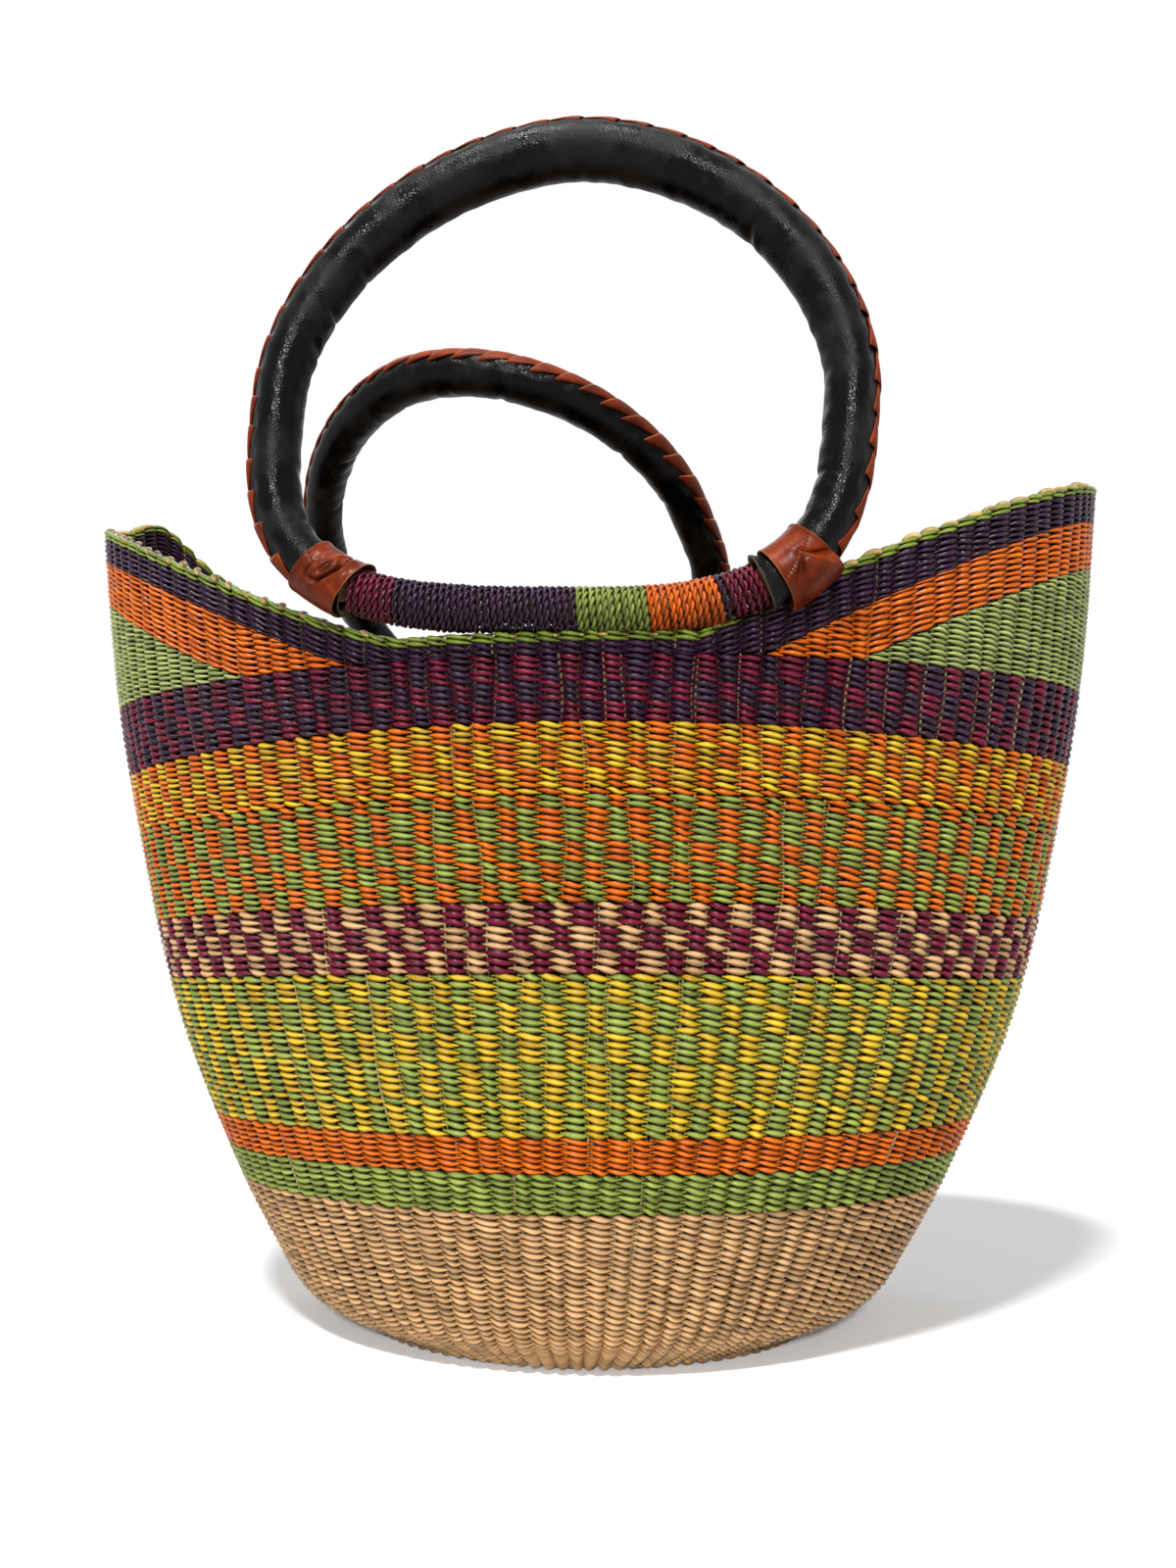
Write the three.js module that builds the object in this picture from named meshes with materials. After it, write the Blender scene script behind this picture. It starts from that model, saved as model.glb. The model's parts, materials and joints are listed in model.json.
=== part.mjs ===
// Market basket: a twined grass body with raised wings and two leather-covered ring handles.
// Millimetres, Z up, X from wing to wing, front at -Y, origin at the centre of the flat base.
import * as THREE from 'three';

// Wall of the body: its sizes at the level of the wing tips, at the foot and at the heel
const wallTopHeight = 320;
const wallTopHalfWidth = 200;
const wallTopHalfDepth = 118;
const baseHalfWidth = 77;
const baseHalfDepth = 66;
const heelHeight = 9;
const heelHalfWidth = 102;
const heelHalfDepth = 74;
const wallThickness = 5;
const seamGap = 0.3;

// Outline of the wall above the heel, as shares of its sizes at the wing tips
const wallShares = [
  { height: 0.0875, halfWidth: 0.5875, halfDepth: 0.661 },
  { height: 0.1875, halfWidth: 0.68, halfDepth: 0.703 },
  { height: 0.34375, halfWidth: 0.795, halfDepth: 0.737 },
  { height: 0.53125, halfWidth: 0.88, halfDepth: 0.797 },
  { height: 0.734375, halfWidth: 0.9475, halfDepth: 0.898 },
  { height: 1, halfWidth: 1, halfDepth: 1 },
];
const wallStations = wallShares.map((share) => ({
  height: share.height * wallTopHeight,
  halfWidth: share.halfWidth * wallTopHalfWidth,
  halfDepth: share.halfDepth * wallTopHalfDepth,
}));

// Heights of the colour bands at the middle of the front, and how far each top line dips at the wings
const naturalBand = { height: 50.5, dip: 0 };
const lowerGreenBand = { height: 12.5, dip: 1 };
const lowerOrangeBand = { height: 11, dip: 1.2 };
const greenYellowBand = { height: 51, dip: 4 };
const purpleNaturalBand = { height: 22.5, dip: 5.7 };
const greenOrangeBand = { height: 33.5, dip: 6 };
const orangeYellowBand = { height: 23, dip: 6.3 };
const magentaBand = { height: 18, dip: -1.5 };
const darkPurpleHeight = 4;
const rimRowsHeight = 3.8;

// Saddle of the rim: level under the handles, rising to the wing tips, higher at the back
const saddleStart = 0.32;
const leftSaddlePower = 1.12;
const rightSaddlePower = 0.92;
const leftRimRise = 73;
const rightRimRise = 75;
const backRise = 30;
const leftTip = { rise: 13, angle: 168, reach: 10 };

// Wedges of extra rows that fill the wings, as shares of the half width and heights at the tips
const leftWing = { side: 'left', greenStart: 0.58, greenRise: 44, orangeStart: 0.37, orangeRise: 61 };
const rightWing = { side: 'right', greenStart: 0.51, greenRise: 49, orangeStart: 0.345, orangeRise: 67 };
const wedgeTipHeight = 1.4;

// Turned-down stake ends along the rim
const stakeEndCount = 96;
const stakeEndHeight = 2.4;
const stakeEndUnderHandle = 0.4;
const stakeEndWidth = 3.6;
const stakeEndGap = 0.45;
const stakeEaseShare = 0.1;

// Ring handle, D-shaped: half width, reach above and below its widest line, roundness of both halves,
// and how far it leans to one side as it rises
const ringHalfWidth = 93;
const ringUpper = 87;
const ringLower = 71.7;
const ringUpperPower = 1.84;
const ringLowerPower = 3.3;
const ringSkew = 0.039;
const coreBarRadius = 4.4;
const coreLowRadius = 6.2;
const coreTopRadius = 7.5;
const leatherThickness = 1.4;
const leatherFlare = 0.9;
const flareLength = 3.2;

const cuffLength = 17;
const cuffThickness = 1.3;
const cuffKnotHeight = 3.4;
const laceStitches = 38;
const laceThickness = 1.1;

// Grass wrapping of the bar, colour by colour from left to right
const strandWidth = 2.5;
const strandThickness = 1.7;
const strandPitch = 3.2;
const strandClearance = 0.15;
const strandGap = 0.6;
const wraps = [
  { name: 'wrap_magenta_left', loops: 4, colour: 0x5d1030 },
  { name: 'wrap_purple', loops: 17, colour: 0x2c1020 },
  { name: 'wrap_green', loops: 6, colour: 0x7f9a3a },
  { name: 'wrap_orange', loops: 6, colour: 0xd9691c },
  { name: 'wrap_magenta_right', loops: 3, colour: 0x64122f },
];

// Places along the ring, measured from the middle of the bar: the wrapping, then cover and cuffs
const wrapLoops = wraps.reduce((total, wrap) => total + wrap.loops, 0);
const wrapRun = wrapLoops * strandPitch + (wraps.length - 1) * (strandWidth + strandGap);
const barShift = 3.5;
const coverMargin = 2.2;
const wrapStart = barShift - wrapRun / 2 - 0.2;
const leftCoverStart = wrapRun / 2 + coverMargin - barShift;
const rightCoverStart = wrapRun / 2 + coverMargin + barShift;
const leftCuffStart = leftCoverStart - 1;
const rightCuffStart = rightCoverStart + 3.5;

// Where the handles sit: clearance of the bar over the stake ends and place across the basket,
// then lean towards the inside, turn and roll, in degrees
const frontHandle = { name: 'front', clearance: 1, across: -5.5, lean: 0, turn: 0, roll: 2 };
const backHandle = { name: 'back', clearance: 0.2, across: -18, lean: 47.7, turn: -19, roll: 6 };

// Fineness of the surfaces
const wallSteps = 40;
const ringSides = 10;
const barSteps = 12;
const coverSteps = 28;
const paddingSteps = 1.5;
const strandStepsPerLoop = 8;
const cuffSides = 12;
const cuffSteps = 5;

const degrees = Math.PI / 180;
const clamp01 = (value) => Math.min(1, Math.max(0, value));
const easeInOut = (value) => clamp01(value) ** 2 * (3 - 2 * clamp01(value));

function material(colour, roughness, metalness = 0) {
  return new THREE.MeshStandardMaterial({ color: colour, roughness, metalness });
}

const grass = (colour) => material(colour, 0.72);
const blackLeather = material(0x17171a, 0.38);
const brownLeather = material(0x7a2f1c, 0.42);
const reed = material(0xb58a55, 0.8);

const basket = new THREE.Group();

function addMesh(parent, name, geometry, surface) {
  const mesh = new THREE.Mesh(geometry, surface);
  mesh.name = name;
  parent.add(mesh);
  return mesh;
}

// Signed volume of a triangle list, positive when the faces point out
function signedVolume(points, faces) {
  let sum = 0;
  const cross = new THREE.Vector3();
  for (const [a, b, c] of faces) {
    sum += points[a].dot(cross.crossVectors(points[b], points[c]));
  }
  return sum / 6;
}

function solidFrom(points, faces) {
  const outward = signedVolume(points, faces) > 0;
  const geometry = new THREE.BufferGeometry();
  geometry.setFromPoints(points);
  geometry.setIndex(faces.flatMap(([a, b, c]) => (outward ? [a, b, c] : [a, c, b])));
  geometry.computeVertexNormals();
  return geometry;
}

// Skin between closed sections with the same number of points
function addSkin(faces, first, sections, count, closed) {
  const last = closed ? sections : sections - 1;
  for (let i = 0; i < last; i += 1) {
    const here = first + i * count;
    const next = first + ((i + 1) % sections) * count;
    for (let j = 0; j < count; j += 1) {
      const k = (j + 1) % count;
      faces.push([here + j, here + k, next + k]);
      faces.push([here + j, next + k, next + j]);
    }
  }
}

// Solid through a row of sections: a closed ring, or an open run with flat ends
function loft(sections, closed) {
  const count = sections[0].length;
  const points = sections.flat();
  const faces = [];
  addSkin(faces, 0, sections.length, count, closed);
  if (!closed) {
    const end = (sections.length - 1) * count;
    for (let j = 1; j < count - 1; j += 1) {
      faces.push([0, j + 1, j]);
      faces.push([end, end + j, end + j + 1]);
    }
  }
  return solidFrom(points, faces);
}

// Open tube with a bore: an outer and an inner skin with the same number of sides
function sleeve(outer, inner) {
  const count = outer[0].length;
  const sections = outer.length;
  const innerStart = sections * count;
  const points = [...outer.flat(), ...inner.flat()];
  const faces = [];
  const innerFaces = [];
  addSkin(faces, 0, sections, count, false);
  addSkin(innerFaces, innerStart, sections, count, false);
  for (const [a, b, c] of innerFaces) {
    faces.push([a, c, b]);
  }
  for (const [row, flip] of [[0, true], [sections - 1, false]]) {
    for (let j = 0; j < count; j += 1) {
      const k = (j + 1) % count;
      const a = row * count + j;
      const b = row * count + k;
      const quad = [[a, b, innerStart + b], [a, innerStart + b, innerStart + a]];
      for (const [p, q, r] of quad) {
        faces.push(flip ? [p, r, q] : [p, q, r]);
      }
    }
  }
  return solidFrom(points, faces);
}

// Smooth value between stations, going on in a straight line past the last one
const profile = [
  { height: 0, halfWidth: baseHalfWidth, halfDepth: baseHalfDepth },
  { height: heelHeight, halfWidth: heelHalfWidth, halfDepth: heelHalfDepth },
  ...wallStations,
];

function profileSlope(key, i) {
  const low = profile[Math.max(0, i - 1)];
  const high = profile[Math.min(profile.length - 1, i + 1)];
  return (high[key] - low[key]) / (high.height - low.height);
}

function profileAt(key, height) {
  let i = 0;
  while (i < profile.length - 2 && height > profile[i + 1].height) {
    i += 1;
  }
  const low = profile[i];
  const high = profile[i + 1];
  const span = high.height - low.height;
  const t = (height - low.height) / span;
  if (t > 1) {
    return high[key] + profileSlope(key, i + 1) * (height - high.height);
  }
  const a = low[key];
  const b = high[key];
  const m = profileSlope(key, i) * span;
  const n = profileSlope(key, i + 1) * span;
  return a + t * m + t * t * (3 * (b - a) - 2 * m - n) + t ** 3 * (2 * (a - b) + m + n);
}

// A point of the wall at an angle round the body, set inwards from the outer face
function wallPoint(angle, height, inset = 0) {
  const step = 0.5;
  const cos = Math.cos(angle);
  const sin = Math.sin(angle);
  const slopeWidth = (profileAt('halfWidth', height + step) - profileAt('halfWidth', height)) / step;
  const slopeDepth = (profileAt('halfDepth', height + step) - profileAt('halfDepth', height)) / step;
  const slope = slopeWidth * cos * cos + slopeDepth * sin * sin;
  const length = Math.hypot(1, slope);
  const inward = inset / length;
  const halfWidth = profileAt('halfWidth', height) - inward;
  const halfDepth = profileAt('halfDepth', height) - inward;
  return new THREE.Vector3(halfWidth * cos, halfDepth * sin, height + (inset * slope) / length);
}

// Lines round the body: each gives a height for an angle
const backShare = (angle) => ((1 + Math.sin(angle)) / 2) ** 2;
const rimLevel = [
  naturalBand, lowerGreenBand, lowerOrangeBand, greenYellowBand, purpleNaturalBand,
  greenOrangeBand, orangeYellowBand, magentaBand,
].reduce((sum, band) => sum + band.height, 0) + darkPurpleHeight + rimRowsHeight;

function bandLine(level, dip) {
  const lift = backRise * (level / rimLevel) ** 2;
  return (angle) => level - dip * Math.cos(angle) ** 2 + lift * backShare(angle);
}

function wingShare(angle, start) {
  return clamp01((Math.abs(Math.cos(angle)) - start) / (1 - start));
}

function wedgeLine(under, startKey, riseKey) {
  return (angle) => {
    const wing = Math.cos(angle) < 0 ? leftWing : rightWing;
    const rise = wing[riseKey] * wingShare(angle, wing[startKey]);
    return under(angle) + (rise > wedgeTipHeight * 0.99 ? rise : 0);
  };
}

function saddleLine(level) {
  const flat = bandLine(level, 0);
  return (angle) => {
    const left = Math.cos(angle) < 0;
    const share = wingShare(angle, saddleStart) ** (left ? leftSaddlePower : rightSaddlePower);
    const tip = leftTip.rise * Math.exp(-(((angle / degrees - leftTip.angle) / leftTip.reach) ** 2));
    return flat(angle) + (left ? leftRimRise : rightRimRise) * share + tip;
  };
}

// Angles of the wall's sections: even ones, and for the upper bands also where their lines bend
const evenAngles = Array.from({ length: wallSteps }, (_, i) => (i / wallSteps) * 2 * Math.PI);

function bentAngles() {
  const bends = [];
  for (const [wing, sign] of [[rightWing, 1], [leftWing, -1]]) {
    const greenTip = wing.greenStart + (1 - wing.greenStart) * (wedgeTipHeight / wing.greenRise);
    const orangeTip = wing.orangeStart + (1 - wing.orangeStart) * (wedgeTipHeight / wing.orangeRise);
    const starts = [saddleStart, orangeTip, wing.greenStart, greenTip];
    for (const start of starts) {
      const angle = Math.acos(sign * start);
      bends.push(angle, 2 * Math.PI - angle);
    }
  }
  const near = Math.PI / wallSteps;
  const kept = evenAngles.filter((angle) => bends.every((bend) => Math.abs(bend - angle) > near / 2));
  return [...kept, ...bends].sort((a, b) => a - b);
}

const upperAngles = bentAngles();

// Section of the wall between two lines, with the seam gap left at both
function wallSection(angle, low, high, rows) {
  const bottom = low(angle) + (low === groundLine ? 0 : seamGap / 2);
  const top = high(angle) - seamGap / 2;
  const outer = [];
  const inner = [];
  for (let i = 0; i <= rows; i += 1) {
    const height = bottom + ((top - bottom) * i) / rows;
    outer.push(wallPoint(angle, height));
    inner.unshift(wallPoint(angle, height, wallThickness));
  }
  return [...outer, ...inner];
}

const groundLine = () => 0;

function wallBand(low, high, rows, angles) {
  return loft(angles.map((angle) => wallSection(angle, low, high, rows)), true);
}

// Wedge round one wing, as far as it stays thick enough
function wallWedge(side, low, high, rows) {
  const wrapsRound = (angle) => side === 'right' && angle > Math.PI;
  const turned = upperAngles.map((angle) => (wrapsRound(angle) ? angle - 2 * Math.PI : angle));
  const inside = turned.filter((angle) => (side === 'right') === (Math.cos(angle) > 0))
    .filter((angle) => high(angle) - low(angle) > wedgeTipHeight * 0.99).sort((a, b) => a - b);
  return loft(inside.map((angle) => wallSection(angle, low, high, rows)), false);
}

// Flat oval base inside the foot of the wall, a little thicker towards its middle
function baseDisc() {
  const ringAt = (inset, extraInset, height) => {
    const ring = [];
    for (const angle of evenAngles) {
      const foot = wallPoint(angle, 0, inset);
      const back = (seamGap + extraInset) / Math.hypot(foot.x, foot.y);
      ring.push(new THREE.Vector3(foot.x * (1 - back), foot.y * (1 - back), height ?? foot.z));
    }
    return ring;
  };
  return loft([ringAt(0, 0), ringAt(wallThickness, 0), ringAt(wallThickness, 12, wallThickness)], false);
}

// Knuckles of the stakes turned down over the rim rows, following the straight runs of its top
function stakeEnds(rimLine) {
  const sections = [];
  const middle = wallThickness / 2;
  const angles = [...upperAngles, upperAngles[0] + 2 * Math.PI];
  for (let i = 0; i < stakeEndCount * 2; i += 1) {
    const angle = angles[0] + (i / stakeEndCount) * Math.PI;
    const next = angles.findIndex((other) => other > angle);
    const [before, after] = [angles[next - 1], angles[next]];
    const share = (angle - before) / (after - before);
    const clear = easeInOut((Math.abs(Math.cos(angle)) - saddleStart) / stakeEaseShare);
    const full = stakeEndUnderHandle + (stakeEndHeight - stakeEndUnderHandle) * clear;
    const knuckle = i % 2 === 0;
    const place = (inset, lift) => {
      const from = wallPoint(before, rimLine(before), middle + inset);
      return from.lerp(wallPoint(after, rimLine(after), middle + inset), share)
        .add(new THREE.Vector3(0, 0, stakeEndGap + lift));
    };
    const height = knuckle ? full : full * 0.55;
    const half = (knuckle ? stakeEndWidth : stakeEndWidth * 0.7) / 2;
    sections.push([place(-half, 0), place(-half * 0.4, height), place(half * 0.4, height), place(half, 0)]);
  }
  return loft(sections, true);
}

function buildBody() {
  const bands = [
    ['natural_wall', naturalBand, 5, 0xc99d6b],
    ['lower_green_band', lowerGreenBand, 1, 0x6f8a35],
    ['lower_orange_band', lowerOrangeBand, 1, 0xc9621f],
    ['green_yellow_band', greenYellowBand, 3, 0xa99a2c],
    ['purple_natural_band', purpleNaturalBand, 1, 0x7a3d45],
    ['green_orange_band', greenOrangeBand, 2, 0x9b7a30],
    ['orange_yellow_band', orangeYellowBand, 1, 0xd38424],
    ['magenta_purple_band', magentaBand, 1, 0x43142c],
  ];
  addMesh(basket, 'base_disc', baseDisc(), grass(0xc99d6b));
  let level = 0;
  let low = groundLine;
  for (const [name, band, rows, colour] of bands) {
    level += band.height;
    const high = bandLine(level, band.dip);
    const angles = band === magentaBand ? upperAngles : evenAngles;
    addMesh(basket, name, wallBand(low, high, rows, angles), grass(colour));
    low = high;
  }
  const greenTop = wedgeLine(low, 'greenStart', 'greenRise');
  const orangeTop = wedgeLine(low, 'orangeStart', 'orangeRise');
  for (const { side } of [leftWing, rightWing]) {
    addMesh(basket, `${side}_green_wedge`, wallWedge(side, low, greenTop, 2), grass(0x8fa344));
    addMesh(basket, `${side}_orange_wedge`, wallWedge(side, greenTop, orangeTop, 1), grass(0xd9691c));
  }
  level += darkPurpleHeight;
  const purpleTop = saddleLine(level);
  addMesh(basket, 'dark_purple_band', wallBand(orangeTop, purpleTop, 1, upperAngles), grass(0x2c1020));
  const rimTop = saddleLine(level + rimRowsHeight);
  addMesh(basket, 'green_rim', wallBand(purpleTop, rimTop, 2, upperAngles), grass(0x6d8a2f));
  addMesh(basket, 'turned_stake_ends', stakeEnds(rimTop), grass(0xc9a869));
  return rimTop;
}

// Centre line of the ring handle in its own XZ plane, the middle of the bar at the origin
class RingCurve extends THREE.Curve {
  getPoint(t, target = new THREE.Vector3()) {
    const turn = (t - 0.25) * 2 * Math.PI;
    const cos = Math.cos(turn);
    const sin = Math.sin(turn);
    const upper = sin > 0;
    const power = 2 / (upper ? ringUpperPower : ringLowerPower);
    const reach = upper ? ringUpper : ringLower;
    const x = ringHalfWidth * Math.sign(cos) * Math.abs(cos) ** power;
    const z = reach * Math.sign(sin) * Math.abs(sin) ** power + ringLower;
    return target.set(x + ringSkew * z, 0, z);
  }
}

const ring = new RingCurve();
ring.arcLengthDivisions = 2000;
const ringLength = ring.getLength();

// Place on the ring at a distance from the middle of the bar, positive to the right
function ringPlace(distance) {
  const share = (((distance / ringLength) % 1) + 1) % 1;
  const before = ring.getPointAt((share + 0.9995) % 1);
  const after = ring.getPointAt((share + 0.0005) % 1);
  const along = after.clone().sub(before).normalize();
  const out = new THREE.Vector3(along.z, 0, -along.x);
  return { centre: ring.getPointAt(share), along, out, side: new THREE.Vector3(0, -1, 0) };
}

// Round section at a place on the ring; angle 0 is the outer edge, a quarter turn is the front
function ringSection(distance, radiusAt, sides) {
  const { centre, out, side } = ringPlace(distance);
  const section = [];
  for (let j = 0; j < sides; j += 1) {
    const angle = (j / sides) * 2 * Math.PI;
    const radius = typeof radiusAt === 'function' ? radiusAt(angle) : radiusAt;
    const point = centre.clone();
    point.addScaledVector(out, radius * Math.cos(angle));
    point.addScaledVector(side, radius * Math.sin(angle));
    section.push(point);
  }
  return section;
}

const coverRun = ringLength - leftCoverStart - rightCoverStart - 2 * flareLength;

// The padding grows thicker towards the top of the ring
function paddedRadius(distance) {
  const share = ringPlace(distance).centre.z / (ringUpper + ringLower);
  return coreLowRadius + (coreTopRadius - coreLowRadius) * share ** 2;
}

function coverBore(distance) {
  return paddedRadius(distance) + seamGap;
}

function coverRadius(distance) {
  return coverBore(distance) + leatherThickness;
}

// Stations along the cover, with a short first and last one for its open ends
function coverPlace(step) {
  if (step === 0 || step === coverSteps) {
    return step === 0 ? rightCoverStart : ringLength - leftCoverStart;
  }
  return rightCoverStart + flareLength + (coverRun * (step - 1)) / (coverSteps - 2);
}

// Bundle of reeds: thin along the wrapped bar, padded where the leather covers it
function ringCore() {
  const sections = [];
  for (let i = 0; i < barSteps; i += 1) {
    const distance = ((leftCoverStart + rightCoverStart) * i) / barSteps - leftCoverStart;
    sections.push(ringSection(distance, coreBarRadius, ringSides));
  }
  for (let i = 0; i <= coverSteps; i += 1) {
    const nearEnd = Math.min(i, coverSteps - i);
    const share = easeInOut(nearEnd / paddingSteps);
    const radius = coreBarRadius + (paddedRadius(coverPlace(i)) - coreBarRadius) * share;
    sections.push(ringSection(coverPlace(i), radius, ringSides));
  }
  return loft(sections, true);
}

function leatherCover() {
  const outer = [];
  const inner = [];
  for (let i = 0; i <= coverSteps; i += 1) {
    const distance = coverPlace(i);
    const flare = i === 0 ? leatherFlare : 0;
    outer.push(ringSection(distance, coverRadius(distance) + flare, ringSides));
    inner.push(ringSection(distance, coverBore(distance) + flare, ringSides));
  }
  return sleeve(outer, inner);
}

// Leather lace whipped along the outer edge, each stitch wide and thick at its start
function lacing() {
  const sections = [];
  const first = rightCuffStart + cuffLength + 1;
  const run = ringLength - first - (leftCuffStart + cuffLength + 1);
  const pitch = run / laceStitches;
  for (let i = 0; i < laceStitches; i += 1) {
    for (const [share, reach, rise] of [[0.02, 27, laceThickness], [0.94, 15, laceThickness * 0.45]]) {
      const distance = first + pitch * (i + share);
      const foot = coverRadius(distance) / Math.cos(Math.PI / ringSides) + seamGap;
      const { centre, out, side } = ringPlace(distance);
      const place = (angle, radius) => centre.clone()
        .addScaledVector(out, radius * Math.cos(angle * degrees))
        .addScaledVector(side, radius * Math.sin(angle * degrees));
      sections.push([
        place(-reach, foot + rise * 0.6), place(0, foot + rise), place(reach, foot + rise * 0.6),
        place(reach, foot), place(0, foot), place(-reach, foot),
      ]);
    }
  }
  return loft(sections, false);
}

// Leather cuff round one end of the cover, with the knot of its tucked end on the front
function cuff(start, towards) {
  const outer = [];
  const inner = [];
  for (let i = 0; i <= cuffSteps; i += 1) {
    const share = i / cuffSteps;
    const distance = towards * (start + cuffLength * share);
    const bore = coverRadius(distance) / Math.cos(Math.PI / ringSides) + seamGap;
    const pinch = 0.5 * Math.sin(share * Math.PI * 3);
    const knot = (angle) => {
      const across = Math.exp(-(((angle - Math.PI / 2) / 0.55) ** 2));
      return cuffKnotHeight * across * Math.exp(-(((share - 0.45) / 0.22) ** 2));
    };
    const radiusAt = (angle) => bore + cuffThickness + pinch + knot(angle);
    outer.push(ringSection(distance, radiusAt, cuffSides));
    inner.push(ringSection(distance, bore + 0.2, cuffSides));
  }
  return sleeve(outer, inner);
}

// Least distance between parts of a strand that lie half a loop or more apart, less its width
function leastSelfGap(path, width) {
  const apart = Math.floor(strandStepsPerLoop / 2);
  let least = Infinity;
  for (let i = 0; i < path.length; i += 1) {
    for (let j = i + apart; j < path.length; j += 1) {
      least = Math.min(least, path[i].distanceTo(path[j]) - width);
    }
  }
  return least;
}

// Radius of the strand's middle, so that its straight steps clear the core
const strandRadius = (coreBarRadius + strandClearance + strandThickness / 2)
  / Math.cos(Math.PI / strandStepsPerLoop);

// One strand wound round the bar: a helix with a straight end of one strand width at both ends
function winding(wrap, start) {
  const sections = [];
  const path = [];
  const steps = wrap.loops * strandStepsPerLoop;
  for (let i = 0; i <= steps; i += 1) {
    const turn = i / strandStepsPerLoop;
    const { centre, along, out, side } = ringPlace(start + turn * strandPitch);
    const angle = turn * 2 * Math.PI;
    const outwards = out.clone().multiplyScalar(Math.cos(angle)).addScaledVector(side, Math.sin(angle));
    const middle = centre.clone().addScaledVector(outwards, strandRadius);
    path.push(middle);
    sections.push([
      middle.clone().addScaledVector(outwards, strandThickness / 2),
      middle.clone().addScaledVector(along, strandWidth / 2),
      middle.clone().addScaledVector(outwards, -strandThickness / 2),
      middle.clone().addScaledVector(along, -strandWidth / 2),
    ]);
  }
  const straightEnd = (end, next) => {
    const outwards = sections[end][0].clone().sub(sections[end][2]).normalize();
    const straight = path[end].clone().sub(path[next]).projectOnPlane(outwards).setLength(strandWidth);
    return sections[end].map((point) => point.clone().add(straight));
  };
  const lastEnd = straightEnd(steps, steps - 1);
  sections.unshift(straightEnd(0, 1));
  sections.push(lastEnd);
  console.log(`${wrap.name}: least gap to itself ${leastSelfGap(path, strandWidth).toFixed(2)} mm`);
  return loft(sections, false);
}

// A handle stands on the rim at the middle of one long side
function buildHandle(handle, outside, rimTop) {
  const facing = Math.sign(outside.y);
  const wrapRadius = strandRadius + strandThickness / 2;
  const seat = wallPoint(facing * Math.PI / 2, rimTop(facing * Math.PI / 2), wallThickness / 2);
  const seatHeight = seat.z + stakeEndGap + stakeEndUnderHandle;
  const hinge = new THREE.Group();
  hinge.position.set(handle.across, seat.y, seatHeight + handle.clearance + wrapRadius);
  hinge.rotation.z = (facing > 0 ? Math.PI : 0) + handle.turn * degrees;
  const tilt = new THREE.Group();
  tilt.rotation.set(-handle.lean * degrees, handle.roll * degrees, 0, 'XYZ');
  hinge.add(tilt);
  basket.add(hinge);
  const named = (piece) => `${handle.name}_${piece}`;
  addMesh(tilt, named('ring_core'), ringCore(), reed);
  addMesh(tilt, named('leather_cover'), leatherCover(), blackLeather);
  addMesh(tilt, named('edge_lacing'), lacing(), brownLeather);
  addMesh(tilt, named('left_cuff'), cuff(leftCuffStart, -1), brownLeather);
  addMesh(tilt, named('right_cuff'), cuff(rightCuffStart, 1), brownLeather);
  let start = wrapStart;
  for (const wrap of wraps) {
    addMesh(tilt, named(wrap.name), winding(wrap, start), grass(wrap.colour));
    start += wrap.loops * strandPitch + strandWidth + strandGap;
  }
}

const rimTop = buildBody();
buildHandle(frontHandle, new THREE.Vector3(0, -1, 0), rimTop);
buildHandle(backHandle, new THREE.Vector3(0, 1, 0), rimTop);

export default basket;
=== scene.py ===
"""Looks of a twined market basket with two leather-covered ring handles.

Lengths are millimetres until a mesh is made. +X runs from wing to wing and -Y is the front.
"""
import json
import math
from functools import cache

import bpy
import numpy as np
from bpy.props import FloatProperty, FloatVectorProperty, IntProperty, PointerProperty
from mathutils import Matrix, Vector


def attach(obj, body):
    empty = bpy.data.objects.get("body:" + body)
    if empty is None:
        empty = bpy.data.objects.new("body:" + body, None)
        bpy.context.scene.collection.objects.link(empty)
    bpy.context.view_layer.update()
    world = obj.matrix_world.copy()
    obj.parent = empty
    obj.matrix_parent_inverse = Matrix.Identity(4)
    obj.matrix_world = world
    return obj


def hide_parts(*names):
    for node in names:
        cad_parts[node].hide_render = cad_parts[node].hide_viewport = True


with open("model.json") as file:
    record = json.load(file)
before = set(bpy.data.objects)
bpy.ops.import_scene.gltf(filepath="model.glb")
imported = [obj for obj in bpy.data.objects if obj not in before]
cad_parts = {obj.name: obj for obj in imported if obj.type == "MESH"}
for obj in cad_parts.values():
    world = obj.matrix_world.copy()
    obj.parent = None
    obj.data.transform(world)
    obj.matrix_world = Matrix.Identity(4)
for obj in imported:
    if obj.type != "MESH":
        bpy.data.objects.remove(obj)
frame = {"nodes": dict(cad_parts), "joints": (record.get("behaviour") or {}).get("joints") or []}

bl_info = {
    "name": "Twined market basket",
    "version": (1, 0, 0),
    "blender": (4, 5, 0),
    "location": "View3D > Sidebar > Basket",
    "description": "Weaves a twined basket and covers its ring handles with leather",
    "category": "Add Mesh",
}

MM = 0.001
TURN = 2 * math.pi
WHITE = (1, 1, 1, 1)
BODY = "basket_body"

# Wall of the body: heights and half axes of its outer oval, and its thickness
WALL_HEIGHTS = np.array([0, 9, 28, 60, 110, 170, 235, 320], float)
WALL_HALF_WIDTHS = np.array([77, 102, 117.5, 136, 159, 176, 189.5, 200], float)
WALL_HALF_DEPTHS = np.array([66, 74, 78, 82.95, 86.97, 94.05, 105.96, 118], float)
WALL_THICKNESS = 5.0
SLOPE_STEP = 0.5

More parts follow.
